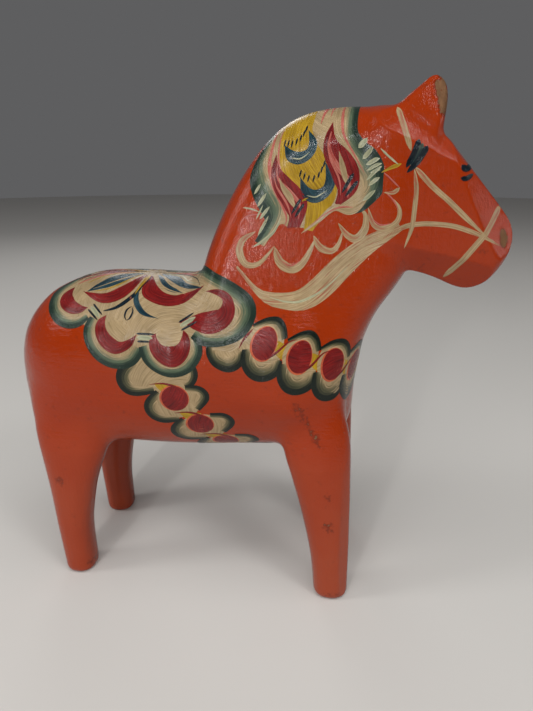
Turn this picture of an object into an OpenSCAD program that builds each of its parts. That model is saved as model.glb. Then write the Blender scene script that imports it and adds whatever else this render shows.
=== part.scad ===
// Large painted wooden horse, carved from a blank that is glued up from pine boards.
// Four layers of boards stand side by side across the horse. The two inner layers carry the
// head, neck and belly. The two outer layers carry the flanks and the legs. The grain of
// every board runs up and down, so that a leg never breaks across it. Birch dowels run
// through the layers and are glued in.
// X points to the head, Y to the horse's left side, Z up. The origin is on the ground,
// under the middle of the horse.

/* [Size] */
// Length over the rump and the muzzle
horse_length = 480; // [400:5:560]
// Height from the ground to the ear tips
horse_height = 496; // [420:4:560]
// Width over the flanks
body_width = 152; // [132:4:176]

/* [Head and neck] */
// Width of the neck under the mane
neck_width = 76; // [64:1:80]
// Width of the head across the cheeks
head_width = 66; // [54:1:72]
// Width of the muzzle
muzzle_width = 48; // [36:1:52]
// Distance between the middles of the two ears
ear_spacing = 34; // [28:1:38]

/* [Legs] */
// Diameter of a leg just above the ground
foot_d = 34; // [26:1:36]
// Diameter of the flat sole under a foot
sole_d = 27; // [18:1:28]
// Height over which the sole's edge is rounded
sole_round = 8; // [4:1:12]

/* [Glued blank] */
// Joint between the hind leg board and the flank board, in the outer layers
outer_rear_joint = -90; // [-110:5:-70]
// Joint between the flank board and the foreleg board, in the outer layers
outer_front_joint = 30; // [10:5:34]
// Joint between the rump board and the loin board, in the inner layers
inner_rear_joint = -125; // [-140:5:-115]
// Joint between the loin board and the neck board, in the inner layers
inner_mid_joint = -5; // [-20:5:5]
// Joint between the neck board and the head board, in the inner layers
inner_front_joint = 125; // [115:1:128]

/* [Dowels] */
// Diameter of the dowels through the body
dowel_d = 12; // [8:1:16]
// Length of the dowels through the body
dowel_length = 120; // [100:2:124]
// Diameter of the dowels in the neck and the head
thin_dowel_d = 10; // [6:1:12]
// Length of the dowels in the neck and the head
thin_dowel_length = 48; // [36:2:50]
// Glue gap round a dowel
glue_gap = 0.1; // [0.05:0.05:0.3]

/* [Smoothness] */
// Steps between two ribs of a carved form
rib_steps = 2; // [1:1:3]
// Sides of a rib of the body, neck and head
rib_sides = 24; // [16:4:32]
// Sides of a rib of a leg or an ear
leg_sides = 16; // [12:4:24]

/* [Hidden] */

// The ribs below are drawn for a horse of this size, and stretched to the size asked for.
drawn = [480, 152, 496];
stretch = [horse_length / drawn[0], body_width / drawn[1], horse_height / drawn[2]];
board_t = body_width / 4;
leg_y = 1.5 * drawn[1] / 4;
half_w = drawn[1] / 2;
neck_w = neck_width / stretch[1] / 2;
head_w = head_width / stretch[1] / 2;
muzzle_w = muzzle_width / stretch[1] / 2;
foot_w = foot_d / stretch[1] / 2;
sole_w = sole_d / stretch[1] / 2;
reach = 2 * horse_height;
dowel_fn = 48;

// A rib is an upright or level slice: one edge point [x, z], the opposite edge point [x, z],
// half its width across the horse, and how square its outline is (2 is an ellipse).
trunk_ribs = [
    [-240, 236, -240, 210, 11, 2],
    [-237.5, 252, -236.5, 189, 26, 2],
    [-230, 270, -229, 172, 40, 2.1],
    [-214, 291, -215, 159, 55, 2.2],
    [-192, 308, -194, 151, 67, 2.3],
    [-160, 320.5, -160, 146.5, 74, 2.4],
    [-120, 324.5, -120, 144.5, half_w, 2.4],
    [-60, 324, -60, 145, half_w, 2.4],
    [0, 324, 0, 147.5, half_w, 2.4],
    [50, 320, 50, 151, 75, 2.4],
    [80, 300, 80, 155, 70, 2.4],
    [98, 270, 97, 164, 57, 2.4],
    [107, 246, 106, 177, 40, 2.3],
    [109.5, 228, 109.5, 190, 18, 2]
];
neck_ribs = [
    [-56, 286, 97, 198, 63, 2.4],
    [-43, 326, 109, 236, 59, 2.3],
    [-32, 356, 115.5, 262, 50, 2.2],
    [-13, 396, 125.5, 288, 42, 2.3],
    [11, 433, 136, 311, neck_w, 2.4],
    [46, 463.5, 147.5, 329, neck_w, 2.5],
    [90, 474, 155, 335.5, neck_w - 1, 2.6],
    [133, 473, 170, 331, head_w + 1, 2.8],
    [172, 453, 187, 324, head_w, 2.8],
    [200, 425.5, 202, 318.5, head_w - 3, 2.6],
    [226, 395.5, 213, 319.5, (head_w + muzzle_w) / 2, 2.5],
    [239.5, 373, 227.5, 328.5, muzzle_w, 2.4],
    [240, 363, 236, 344, muzzle_w - 9, 2]
];
hind_leg_ribs = [
    [-194, 0, -167.5, 0, sole_w, 2.2],
    [-197.5, sole_round, -164, sole_round, foot_w, 2.3],
    [-201, 55, -164, 55, 17.5, 2.4],
    [-204, 96, -158, 96, 18, 2.5],
    [-208, 140, -150, 140, 18.5, 2.6],
    [-209, 190, -138, 190, 18.5, 2.6],
    [-194, 240, -148, 240, 14, 2.4]
];
foreleg_ribs = [
    [80.5, 0, 111.5, 0, sole_w, 2.2],
    [77, sole_round, 114, sole_round, foot_w, 2.3],
    [72, 50, 113, 50, 17.5, 2.4],
    [62, 97, 112, 97, 18, 2.5],
    [52, 135, 111, 135, 18.5, 2.6],
    [42, 170, 109, 170, 18.5, 2.6],
    [46, 215, 103, 215, 17, 2.6],
    [60, 250, 92, 250, 12, 2.4]
];
ear_ribs = [
    [124, 448, 171, 440, 11, 2.2],
    [129, 469, 171, 458, 12, 2.2],
    [142, 481, 172, 475, 11, 2.2],
    [152, 490, 171, 487, 8.5, 2.2],
    [158, 496, 165, 495.5, 5, 2]
];
// Where the dowels run across the horse, as [x, z].
rump_dowel_places = [[-172, 262], [-172, 196]];
loin_dowel_places = [[-48, 262], [-48, 196]];
shoulder_dowel_places = [[72, 258], [72, 196]];
neck_dowel_places = [[52, 418], [92, 368]];
head_dowel_places = [[168, 396]];

// A point on the smooth curve through four neighbours in a list, each a list of numbers.
function between(p, q, r, s, t) =
    0.5 * (2 * q + (r - p) * t + (2 * p - 5 * q + 4 * r - s) * t * t
           + (3 * q - p - 3 * r + s) * t * t * t);
function smooth(ribs, steps) = [
    for (i = [0:len(ribs) - 2])
        for (j = [0:steps - 1])
            between(ribs[max(i - 1, 0)], ribs[i], ribs[i + 1],
                    ribs[min(i + 2, len(ribs) - 1)], j / steps),
    ribs[len(ribs) - 1]
];
// A sine or cosine value pushed out towards a square, for a rounded rectangle.
function squared(v, squareness) = sign(v) * pow(abs(v), 2 / squareness);
function rib_ring(rib, y, sides) = [
    for (k = [0:sides - 1])
        let (
            along = squared(cos(360 * k / sides), rib[5]),
            across = squared(sin(360 * k / sides), rib[5]),
            middle = [rib[0] + rib[2], rib[1] + rib[3]] / 2,
            half = [rib[0] - rib[2], rib[1] - rib[3]] / 2
        )
        [middle[0] + half[0] * along, y + rib[4] * across, middle[1] + half[1] * along]
];

// A closed carved form through a list of ribs, with y as the middle of every rib.
module ribbed_form(ribs, y, sides) {
    rings = smooth(ribs, rib_steps);
    last = len(rings) - 1;
    points = [for (ring = rings) each rib_ring(ring, y, sides)];
    near_cap = [for (k = [0:sides - 1]) sides - 1 - k];
    far_cap = [for (k = [0:sides - 1]) last * sides + k];
    skin = [
        for (i = [0:last - 1])
            for (k = [0:sides - 1])
                let (
                    a = i * sides + k,
                    b = i * sides + (k + 1) % sides,
                    c = b + sides,
                    d = a + sides
                )
                each [[a, b, d], [b, c, d]]
    ];
    scale(stretch)
        polyhedron(points, concat([near_cap], skin, [far_cap]));
}

module trunk() {
    ribbed_form(trunk_ribs, 0, rib_sides);
}

module neck_and_head() {
    ribbed_form(neck_ribs, 0, rib_sides);
}

module hind_leg(side) {
    ribbed_form(hind_leg_ribs, side * leg_y, leg_sides);
}

module foreleg(side) {
    ribbed_form(foreleg_ribs, side * leg_y, leg_sides);
}

module ear(side) {
    ribbed_form(ear_ribs, side * ear_spacing / stretch[1] / 2, leg_sides);
}

// One board of the blank, from x0 to x1. layer 0 is an inner one, and 1 an outer one.
module board_blank(side, layer, x0, x1) {
    y0 = side > 0 ? layer * board_t : -(layer + 1) * board_t;
    translate([x0 * stretch[0], y0, -1])
        cube([(x1 - x0) * stretch[0], board_t, reach]);
}

module dowel_row(places, d, length) {
    for (p = places)
        translate([p[0] * stretch[0], 0, p[1] * stretch[2]])
            rotate([90, 0, 0])
                cylinder(d = d, h = length, center = true, $fn = dowel_fn);
}

module dowel_bores(places, d, length) {
    dowel_row(places, d + 2 * glue_gap, length + 2);
}

// The carved part of one board: children are the forms that pass through it.
module board(side, layer, x0, x1, places, d, length) {
    color("orangered")
        difference() {
            intersection() {
                union() children();
                board_blank(side, layer, x0, x1);
            }
            dowel_bores(places, d, length);
        }
}

module hind_leg_board(side) {
    board(side, 1, -reach / 2, outer_rear_joint, rump_dowel_places, dowel_d, dowel_length) {
        trunk();
        hind_leg(side);
    }
}

module flank_board(side) {
    board(side, 1, outer_rear_joint, outer_front_joint, loin_dowel_places, dowel_d, dowel_length) {
        trunk();
        neck_and_head();
    }
}

module foreleg_board(side) {
    board(side, 1, outer_front_joint, reach / 2, shoulder_dowel_places, dowel_d, dowel_length) {
        trunk();
        neck_and_head();
        foreleg(side);
    }
}

module rump_board(side) {
    board(side, 0, -reach / 2, inner_rear_joint, rump_dowel_places, dowel_d, dowel_length)
        trunk();
}

module loin_board(side) {
    board(side, 0, inner_rear_joint, inner_mid_joint, loin_dowel_places, dowel_d, dowel_length) {
        trunk();
        neck_and_head();
    }
}

module neck_board(side) {
    difference() {
        board(side, 0, inner_mid_joint, inner_front_joint,
              shoulder_dowel_places, dowel_d, dowel_length) {
            trunk();
            neck_and_head();
        }
        dowel_bores(neck_dowel_places, thin_dowel_d, thin_dowel_length);
    }
}

module head_board(side) {
    board(side, 0, inner_front_joint, reach / 2,
          head_dowel_places, thin_dowel_d, thin_dowel_length) {
        neck_and_head();
        ear(side);
    }
}

module body_dowels(places) {
    color("burlywood") dowel_row(places, dowel_d, dowel_length);
}

module thin_dowels(places) {
    color("burlywood") dowel_row(places, thin_dowel_d, thin_dowel_length);
}

hind_leg_board(-1);  // right_hind_leg_board
flank_board(-1);  // right_flank_board
foreleg_board(-1);  // right_foreleg_board
hind_leg_board(1);  // left_hind_leg_board
flank_board(1);  // left_flank_board
foreleg_board(1);  // left_foreleg_board
rump_board(-1);  // right_rump_board
loin_board(-1);  // right_loin_board
neck_board(-1);  // right_neck_board
head_board(-1);  // right_head_board
rump_board(1);  // left_rump_board
loin_board(1);  // left_loin_board
neck_board(1);  // left_neck_board
head_board(1);  // left_head_board
body_dowels(rump_dowel_places);  // rump_dowels
body_dowels(loin_dowel_places);  // loin_dowels
body_dowels(shoulder_dowel_places);  // shoulder_dowels
thin_dowels(neck_dowel_places);  // neck_dowels
thin_dowels(head_dowel_places);  // head_dowel
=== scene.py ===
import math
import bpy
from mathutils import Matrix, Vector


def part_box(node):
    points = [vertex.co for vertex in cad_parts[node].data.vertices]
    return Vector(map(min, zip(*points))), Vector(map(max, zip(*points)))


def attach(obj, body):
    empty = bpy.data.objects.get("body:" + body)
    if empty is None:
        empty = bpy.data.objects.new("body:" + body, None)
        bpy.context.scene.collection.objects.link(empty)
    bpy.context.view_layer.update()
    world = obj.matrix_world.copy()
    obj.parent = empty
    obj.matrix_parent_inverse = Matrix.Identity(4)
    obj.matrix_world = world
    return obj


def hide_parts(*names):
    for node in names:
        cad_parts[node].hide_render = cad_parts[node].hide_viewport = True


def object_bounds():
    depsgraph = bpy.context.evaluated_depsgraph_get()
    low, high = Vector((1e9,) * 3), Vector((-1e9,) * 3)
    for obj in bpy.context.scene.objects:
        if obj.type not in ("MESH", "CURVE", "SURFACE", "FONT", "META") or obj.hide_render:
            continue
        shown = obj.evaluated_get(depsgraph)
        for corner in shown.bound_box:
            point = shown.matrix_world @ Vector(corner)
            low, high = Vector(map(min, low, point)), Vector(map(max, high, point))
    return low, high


bl_info = {
    "name": "Painted wooden horse",
    "version": (1, 0, 0),
    "blender": (4, 5, 0),
    "location": "View3D > Sidebar > Horse",
    "description": "Carves, enamels and paints a horse glued up from pine boards",
    "category": "Object",
}

import bmesh
import bpy
import numpy as np
from bpy.props import FloatProperty, FloatVectorProperty, PointerProperty
from mathutils import Vector

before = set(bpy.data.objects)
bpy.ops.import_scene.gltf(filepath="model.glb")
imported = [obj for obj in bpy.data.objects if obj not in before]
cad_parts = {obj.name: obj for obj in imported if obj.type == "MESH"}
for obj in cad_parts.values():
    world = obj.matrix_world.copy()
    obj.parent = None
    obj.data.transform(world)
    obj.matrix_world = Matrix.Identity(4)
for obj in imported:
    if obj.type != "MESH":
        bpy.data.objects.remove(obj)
CAD_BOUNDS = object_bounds()

BODY = "root"

# The carving is drawn in millimetres: the height below is the full height of the frame's
# horse, x runs from tail to muzzle with 0 near the middle, and z starts at the soles.
DRAWN_HEIGHT = 496.0
DRAWN_MIDDLE_X = 0.3
METRES_PER_MM = (CAD_BOUNDS[1].z - CAD_BOUNDS[0].z) / DRAWN_HEIGHT
FRAME_MIDDLE = Vector((
    (CAD_BOUNDS[0].x + CAD_BOUNDS[1].x) / 2 - DRAWN_MIDDLE_X * METRES_PER_MM,
    (CAD_BOUNDS[0].y + CAD_BOUNDS[1].y) / 2,
    CAD_BOUNDS[0].z,
))


def linear(sheen):
    """An sRGB hex colour as linear red, green and blue."""
    parts = [int(sheen[i:i + 2], 16) / 255 for i in (0, 2, 4)]
    return tuple(c / 12.92 if c <= 0.04045 else ((c + 0.055) / 1.055) ** 2.4 for c in parts)


def in_metres(points):
    """Drawn millimetres as places in the frame."""
    return np.asarray(points) * METRES_PER_MM + np.array(FRAME_MIDDLE)


# Side outlines of the carving, in millimetres, as (x, z) points in order round the form. Each
# point is a place of its own: the outlines don't follow from the driving sizes.
TRUNK_OUTLINE = [
    (-240, 223), (-239, 240), (-235, 257), (-228, 273), (-214, 291), (-194, 307), (-160, 320),
    (-120, 323.5), (-60, 322.5), (0, 322.5), (45, 320), (78, 303), (97, 272), (107, 246),
    (109, 222), (109, 195), (105, 177), (95, 164), (75, 156), (50, 153), (0, 149),
    (-60, 145), (-120, 144.5), (-160, 146.5), (-194, 151), (-215, 159), (-229, 172),
    (-237, 189), (-240, 208),
]
NECK_OUTLINE = [
    (-60, 250), (-52, 290), (-41.5, 326), (-33, 353), (-22.5, 378), (-11, 400.5), (2, 421.5),
    (18, 442), (37, 459), (57, 468.5), (80, 473), (104, 474), (128, 473), (146, 464),
    (154, 440), (156, 400), (155, 360), (151, 334), (147, 325), (139, 312), (131.5, 301),
    (124, 287), (117.5, 270), (112, 252), (104, 232), (92, 205), (60, 195), (0, 200),
    (-40, 220),
]
HEAD_OUTLINE = [
    (108, 440), (112, 466), (130, 473), (152, 466), (176, 449.5), (187, 437.5), (201, 422),
    (215, 406), (228, 391.5), (237.5, 379.5), (241, 369), (240.5, 359), (236.5, 346.5),
    (230, 335), (222, 326), (212, 320.5), (203, 319.5), (193, 322), (179, 328),
    (166, 332.5), (150, 337), (132, 350), (118, 375), (108, 405),
]
EAR_OUTLINE = [
    (120, 440), (126, 466), (139, 480), (151, 490), (158, 495.5), (164, 496), (170, 490),
    (172.5, 480), (172, 466), (170, 450), (163, 436), (140, 432),
]
# Height, rear edge, front edge and half width of each leg.
HIND_LEG = (
    (0, -197.5, -165, 16.5), (8, -197.5, -165, 17), (55, -201, -165, 17.5),
    (96, -204.5, -158, 18), (120, -207.5, -151, 18.5), (145, -211, -141, 18.5),
    (175, -215, -131, 18.5), (210, -214, -130, 18), (270, -196, -146, 16),
)
FORELEG = (
    (0, 78, 113.5, 16.5), (8, 78, 113.5, 17), (50, 73.5, 113, 17.5), (97, 63.5, 112, 18),
    (135, 53, 111, 18.5), (170, 43.5, 109.5, 18.5), (210, 44, 106.5, 18), (270, 52, 97, 16),
)
OUTLINES = {"trunk": TRUNK_OUTLINE, "neck": NECK_OUTLINE, "head": HEAD_OUTLINE, "ear": EAR_OUTLINE}
TABLE_STEP = 1.5
TABLE_X = np.arange(-252, 253, TABLE_STEP)
TABLE_Z = np.arange(-12, 512, TABLE_STEP)
TABLES = {}
LEG_Y = 57.0
SOLE_ROUNDING = 8.0
EAR_Y = 17.0


def curve_through(points, closed, count=6):
    """Points on a smooth curve through the given ones (a Catmull-Rom curve)."""
    p = np.asarray(points, float)
    n = len(p)
    pick = (lambda i: p[i % n]) if closed else (lambda i: p[min(max(i, 0), n - 1)])
    t = np.arange(count)[:, None] / count
    out = []
    for i in range(n if closed else n - 1):
        a, b, c, d = pick(i - 1), pick(i), pick(i + 1), pick(i + 2)
        out.append(0.5 * (2 * b + (c - a) * t + (2 * a - 5 * b + 4 * c - d) * t ** 2
                          + (3 * b - a - 3 * c + d) * t ** 3))
    if not closed:
        out.append(p[-1:])
    return np.vstack(out)


def table_value(table, keys):
    """A smooth curve through (key, value) pairs, read at keys."""
    if table not in TABLES:
        TABLES[table] = curve_through(table, False, 24)
    dense = TABLES[table]
    return np.interp(keys, dense[:, 0], dense[:, 1])


def outline_table(outline):
    """Distance to a closed outline in side view, negative inside it, on a table of points."""
    px, pz = (v.ravel() for v in np.meshgrid(TABLE_X, TABLE_Z, indexing="ij"))
    q = curve_through(outline, True, 4)
    nearest = np.full(px.shape, 1e9)
    inside = np.zeros(px.shape, bool)
    for (ax, az), (bx, bz) in zip(q, np.roll(q, -1, 0)):
        ex, ez = bx - ax, bz - az
        t = np.clip(((px - ax) * ex + (pz - az) * ez) / (ex * ex + ez * ez), 0, 1)
        nearest = np.minimum(nearest, (px - ax - t * ex) ** 2 + (pz - az - t * ez) ** 2)
        if az != bz:
            crosses = (az > pz) != (bz > pz)
            inside ^= crosses & (px < ex * (pz - az) / ez + ax)
    distance = np.sqrt(nearest) * np.where(inside, -1, 1)
    return distance.reshape(len(TABLE_X), len(TABLE_Z))


def outline_distance(name, x, z):
    """The outline's distance at any points, read between the points of its table."""
    if name not in TABLES:
        TABLES[name] = outline_table(OUTLINES[name])
    table = TABLES[name]
    i = np.clip((x - TABLE_X[0]) / TABLE_STEP, 0, len(TABLE_X) - 1.001)
    k = np.clip((z - TABLE_Z[0]) / TABLE_STEP, 0, len(TABLE_Z) - 1.001)
    i0, k0 = i.astype(int), k.astype(int)
    a, b = i - i0, k - k0
    return ((table[i0, k0] * (1 - a) + table[i0 + 1, k0] * a) * (1 - b)
            + (table[i0, k0 + 1] * (1 - a) + table[i0 + 1, k0 + 1] * a) * b)


def blend_min(a, b, radius):
    """Union of two fields with a filleted joint."""
    h = np.clip(0.5 + 0.5 * (b - a) / radius, 0, 1)
    return b + (a - b) * h - radius * h * (1 - h)


def rounded_plate(distance, y, half_width, edge, square):
    """A plate of the given outline distance and half width, its rim rounded over edge."""
    rim = np.maximum(0, 1 + distance / edge)
    across = np.abs(y) / half_width
    return ((rim ** square + across ** square) ** (1 / square) - 1) * np.minimum(edge, half_width)


def leg_column(leg, x, y, z):
    """A tapering leg whose sole is rounded off above the ground."""
    if leg not in TABLES:
        TABLES[leg] = curve_through(leg, False, 6)
    leg = TABLES[leg]
    heights = leg[:, 0]
    rear, front, width = (np.interp(z, heights, leg[:, i]) for i in (1, 2, 3))
    low = np.clip(1 - z / SOLE_ROUNDING, 0, 1)
    inset = 4.0 * (1 - np.sqrt(np.maximum(0, 1 - low ** 2)))
    along = np.maximum(1, (front - rear) / 2 - inset)
    across = np.maximum(1, width - inset)
    square = 2.4
    middle_y = LEG_Y - 2.6 * np.clip((z - 60) / 90, 0, 1) - 14 * np.clip((z - 150) / 120, 0, 1)
    ring = ((np.abs(x - (front + rear) / 2) / along) ** square
            + (np.abs(y - middle_y) / across) ** square) ** (1 / square)
    # The top of the leg dies away inside the shoulder or the thigh.
    body = (ring - 1) * np.minimum(along, across) + 0.0025 * np.maximum(0, z - 165) ** 2
    return np.maximum(body, -z)


def flat_cut(field, x, y, z, point, normal, softness):
    """The field cut back to a plane by a knife, with a slightly rounded arris."""
    n = np.asarray(normal, float) / np.linalg.norm(normal)
    plane = (x - point[0]) * n[0] + (y - point[1]) * n[1] + (z - point[2]) * n[2]
    return -blend_min(-field, -plane, softness)


# How far in from its outline each part is rounded off, and how square its section is.
TRUNK_SECTION = (82.0, 2.3)
NECK_SECTION = (34.0, 2.5)
HEAD_SECTION = (17.0, 3.2)
EAR_SECTION = (9.0, 2.3)
# Radii of the fillets where a part runs into the body, and of the edges that a knife leaves.
NECK_FILLET = 16.0
HEAD_FILLET = 8.0
EAR_FILLET = 5.0
HIND_LEG_FILLET = 12.0
FORELEG_FILLET = 10.0
KNIFE_ARRIS = 0.8
EAR_ARRIS = 1.0


# Knife cuts on one side of the head: a point in the plane and its outward normal.
HEAD_CUTS = [
    ((204, 30.6, 394), (0.60, 0.75, 0.26)),      # beside the bridge of the nose
    ((166, 31.6, 441), (0.26, 0.80, 0.54)),      # beside the forehead
    ((190, 31.0, 351), (-0.06, 0.84, -0.54)),    # under the cheek
    ((233, 23, 350), (0.80, 0.55, -0.25)),       # beside the lip
]


def neck_half_width(x, z):
    """Half width of the neck, from the shoulders up to the poll."""
    up = 0.5 * (x - 20) + 0.866 * (z - 242)
    return table_value(((-40, 66), (0, 64), (35, 60), (70, 51.5), (105, 43), (140, 37.7),
                        (180, 35.7), (230, 34.5)), up)


def head_half_width(x, z):
    """Half width of the head, from the poll out to the muzzle."""
    out = 0.62 * (x - 150) - 0.78 * (z - 440)
    return table_value(((-30, 34.5), (30, 34), (80, 32), (120, 28), (150, 23.5)), out)


def horse_field(x, y, z):
    """Below zero inside the carving, in about millimetres. x, y and z are in millimetres."""
    y = np.abs(y)
    barrel = table_value(((-250, 57), (-205, 69), (-150, 75), (-90, 76), (-40, 75), (0, 72.5),
                          (60, 73.5), (112, 66)), x)
    trunk = rounded_plate(outline_distance("trunk", x, z), y, barrel, *TRUNK_SECTION)
    width = neck_half_width(x, z)
    neck = rounded_plate(outline_distance("neck", x, z), y, width, *NECK_SECTION)
    head = rounded_plate(outline_distance("head", x, z), y, head_half_width(x, z),
                         *HEAD_SECTION)
    for point, normal in HEAD_CUTS:
        head = flat_cut(head, x, y, z, point, normal, KNIFE_ARRIS)
    body = blend_min(trunk, blend_min(neck, head, HEAD_FILLET), NECK_FILLET)
    ear_lean = EAR_Y - 0.03 * (z - 440)
    ear = rounded_plate(outline_distance("ear", x, z), y - ear_lean,
                        np.interp(z, [440, 470, 496], [14.0, 11.5, 7.0]), *EAR_SECTION)
    ear = flat_cut(ear, x, y, z, (158, 27.5, 468), (0.10, 0.94, 0.30), EAR_ARRIS)
    ear = flat_cut(ear, x, y, z, (173, 20, 470), (0.85, 0.50, 0.05), EAR_ARRIS)
    body = blend_min(body, ear, EAR_FILLET)
    body = blend_min(body, leg_column(HIND_LEG, x, y, z), HIND_LEG_FILLET)
    # The foreleg's front corner is pared flat from the sole to the shoulder.
    foreleg = flat_cut(leg_column(FORELEG, x, y, z), x, y, z, (106.5, 68.2, 80),
                       (0.74, 0.67, 0.03), KNIFE_ARRIS)
    return blend_min(body, foreleg, FORELEG_FILLET)


def horse_normal(p, reach=0.4):
    """Outward direction on the skin at points p, in millimetres."""
    g = np.stack([horse_field(*(p + d).T) - horse_field(*(p - d).T)
                  for d in np.eye(3) * reach], -1)
    return g / np.linalg.norm(g, axis=1)[:, None]


def onto_skin(p, passes=2):
    """Points moved the short way onto the skin."""
    for _ in range(passes):
        reach = 0.4
        g = np.stack([horse_field(*(p + d).T) - horse_field(*(p - d).T)
                      for d in np.eye(3) * reach], -1) / (2 * reach)
        p = p - g * (horse_field(*p.T) / (g ** 2).sum(1))[:, None]
    return p


def first_skin_point(inside, heading, far=200.0):
    """Where a straight line from inside the carving, along heading, leaves the wood."""
    near, away = np.zeros(len(inside)), np.full(len(inside), far)
    for _ in range(24):
        middle = (near + away) / 2
        out = horse_field(*(inside + heading * middle[:, None]).T) > 0
        away, near = np.where(out, middle, away), np.where(out, near, middle)
    return inside + heading * near[:, None]


def trace_skin(starts, across, heading, steps, stride):
    """Walks over the skin from each start, in the plane whose normal is across."""
    p, rows = starts, [starts]
    for _ in range(steps):
        n = horse_normal(p)
        way = np.cross(across, n)
        way *= np.sign((way * heading).sum(1))[:, None]
        way /= np.maximum(np.linalg.norm(way, axis=1), 1e-6)[:, None]
        q = p + way * stride
        n = horse_normal(q)
        flat = n - across * (n * across).sum(1)[:, None]
        slope = np.maximum(0.2, (flat ** 2).sum(1))
        for _ in range(2):
            q = q - flat * (horse_field(*q.T) / slope)[:, None]
        heading, p = q - p, q
        rows.append(q)
    return np.stack(rows, 1)


def surface_nets(values, origin, step):
    """Quads over the zero level of a field sampled on a grid, and their corner points."""
    size = np.array(values.shape) - 1
    count = np.zeros(size)
    total = np.zeros((*size, 3))
    crossings = []
    for axis in range(3):
        near = values.take(range(0, values.shape[axis] - 1), axis)
        far = values.take(range(1, values.shape[axis]), axis)
        at = np.argwhere((near < 0) != (far < 0))
        a, b = near[tuple(at.T)], far[tuple(at.T)]
        place = at.astype(float)
        place[:, axis] += a / (a - b)
        one, two = (axis + 1) % 3, (axis + 2) % 3
        cells = []
        for shift_one, shift_two in ((0, 0), (-1, 0), (-1, -1), (0, -1)):
            cell = at.copy()
            cell[:, one] += shift_one
            cell[:, two] += shift_two
            cells.append(cell)
            np.add.at(count, tuple(cell.T), 1)
            np.add.at(total, tuple(cell.T), place)
        crossings.append((cells, a < 0))
    used = count > 0
    number = np.full(size, -1)
    number[used] = np.arange(used.sum())
    corners = total[used] / count[used][:, None] * step + origin
    quads = []
    for cells, outward in crossings:
        quad = np.stack([number[tuple(cell.T)] for cell in cells], -1)
        quad[~outward] = quad[~outward][:, ::-1]
        quads.append(quad)
    return corners, np.vstack(quads)


def point_values(mesh, name, values):
    """Stores one number for each point of a mesh."""
    layer = mesh.attributes.new(name, "FLOAT", "POINT")
    layer.data.foreach_set("value", np.asarray(values, np.float32))


def mesh_points(mesh):
    """The points of a mesh as drawn millimetres."""
    flat = np.empty(len(mesh.vertices) * 3)
    mesh.vertices.foreach_get("co", flat)
    return (flat.reshape(-1, 3) - np.array(FRAME_MIDDLE)) / METRES_PER_MM


def carved_skin(step):
    """The whole carving as one closed bmesh, in metres."""
    grid = [np.arange(low - 2 * step, high + 2.5 * step, step)
            for low, high in ((-240, 242), (-78, 78), (0, 497))]
    values = horse_field(grid[0][:, None, None], grid[1][None, :, None], grid[2][None, None, :])
    corners, quads = surface_nets(values, np.array([axis[0] for axis in grid]), step)
    off_floor = corners[:, 2] > step
    corners[off_floor] = onto_skin(corners[off_floor], 1)
    corners[:, 2] = np.maximum(corners[:, 2], 0)
    skin = bmesh.new()
    points = [skin.verts.new(p) for p in in_metres(corners).tolist()]
    for quad in quads.tolist():
        face = skin.faces.new([points[i] for i in quad])
        face.smooth = True
    return skin


def sawn(source, axis, place, keep_above, side_material):
    """A copy of a closed bmesh cut by a plane, with the part above or below it kept."""
    block = source.copy()
    middle, normal = Vector((0, 0, 0)), Vector((0, 0, 0))
    middle[axis], normal[axis] = place, 1
    cut = bmesh.ops.bisect_plane(
        block, geom=block.verts[:] + block.edges[:] + block.faces[:], plane_co=middle,
        plane_no=normal, dist=1e-7, clear_inner=keep_above, clear_outer=not keep_above)
    rims = [e for e in cut["geom_cut"] if isinstance(e, bmesh.types.BMEdge) and e.is_valid]
    if rims:
        caps = bmesh.ops.triangle_fill(block, edges=rims, use_beauty=True,
                                       normal=normal * (-1 if keep_above else 1))
        for face in caps["geom"]:
            if isinstance(face, bmesh.types.BMFace):
                face.material_index = side_material
                face.smooth = False
    return block


def add(tree, kind, sockets=(), **settings):
    """Adds a node with its settings; each socket takes a value or another node's output."""
    node = tree.nodes.new(kind)
    for name, value in settings.items():
        setattr(node, name, value)
    for key, value in dict(sockets).items():
        if isinstance(value, bpy.types.NodeSocket):
            tree.links.new(value, node.inputs[key])
        else:
            node.inputs[key].default_value = value
    return node


def new_material(name):
    """An empty node material, its tree and its output node."""
    material = bpy.data.materials.new(name)
    material.use_nodes = True
    material.node_tree.nodes.clear()
    return material, material.node_tree


def millimetre(size):
    """The noise or wave scale that gives a pattern about size millimetres across."""
    return 1 / (size * METRES_PER_MM)


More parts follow.
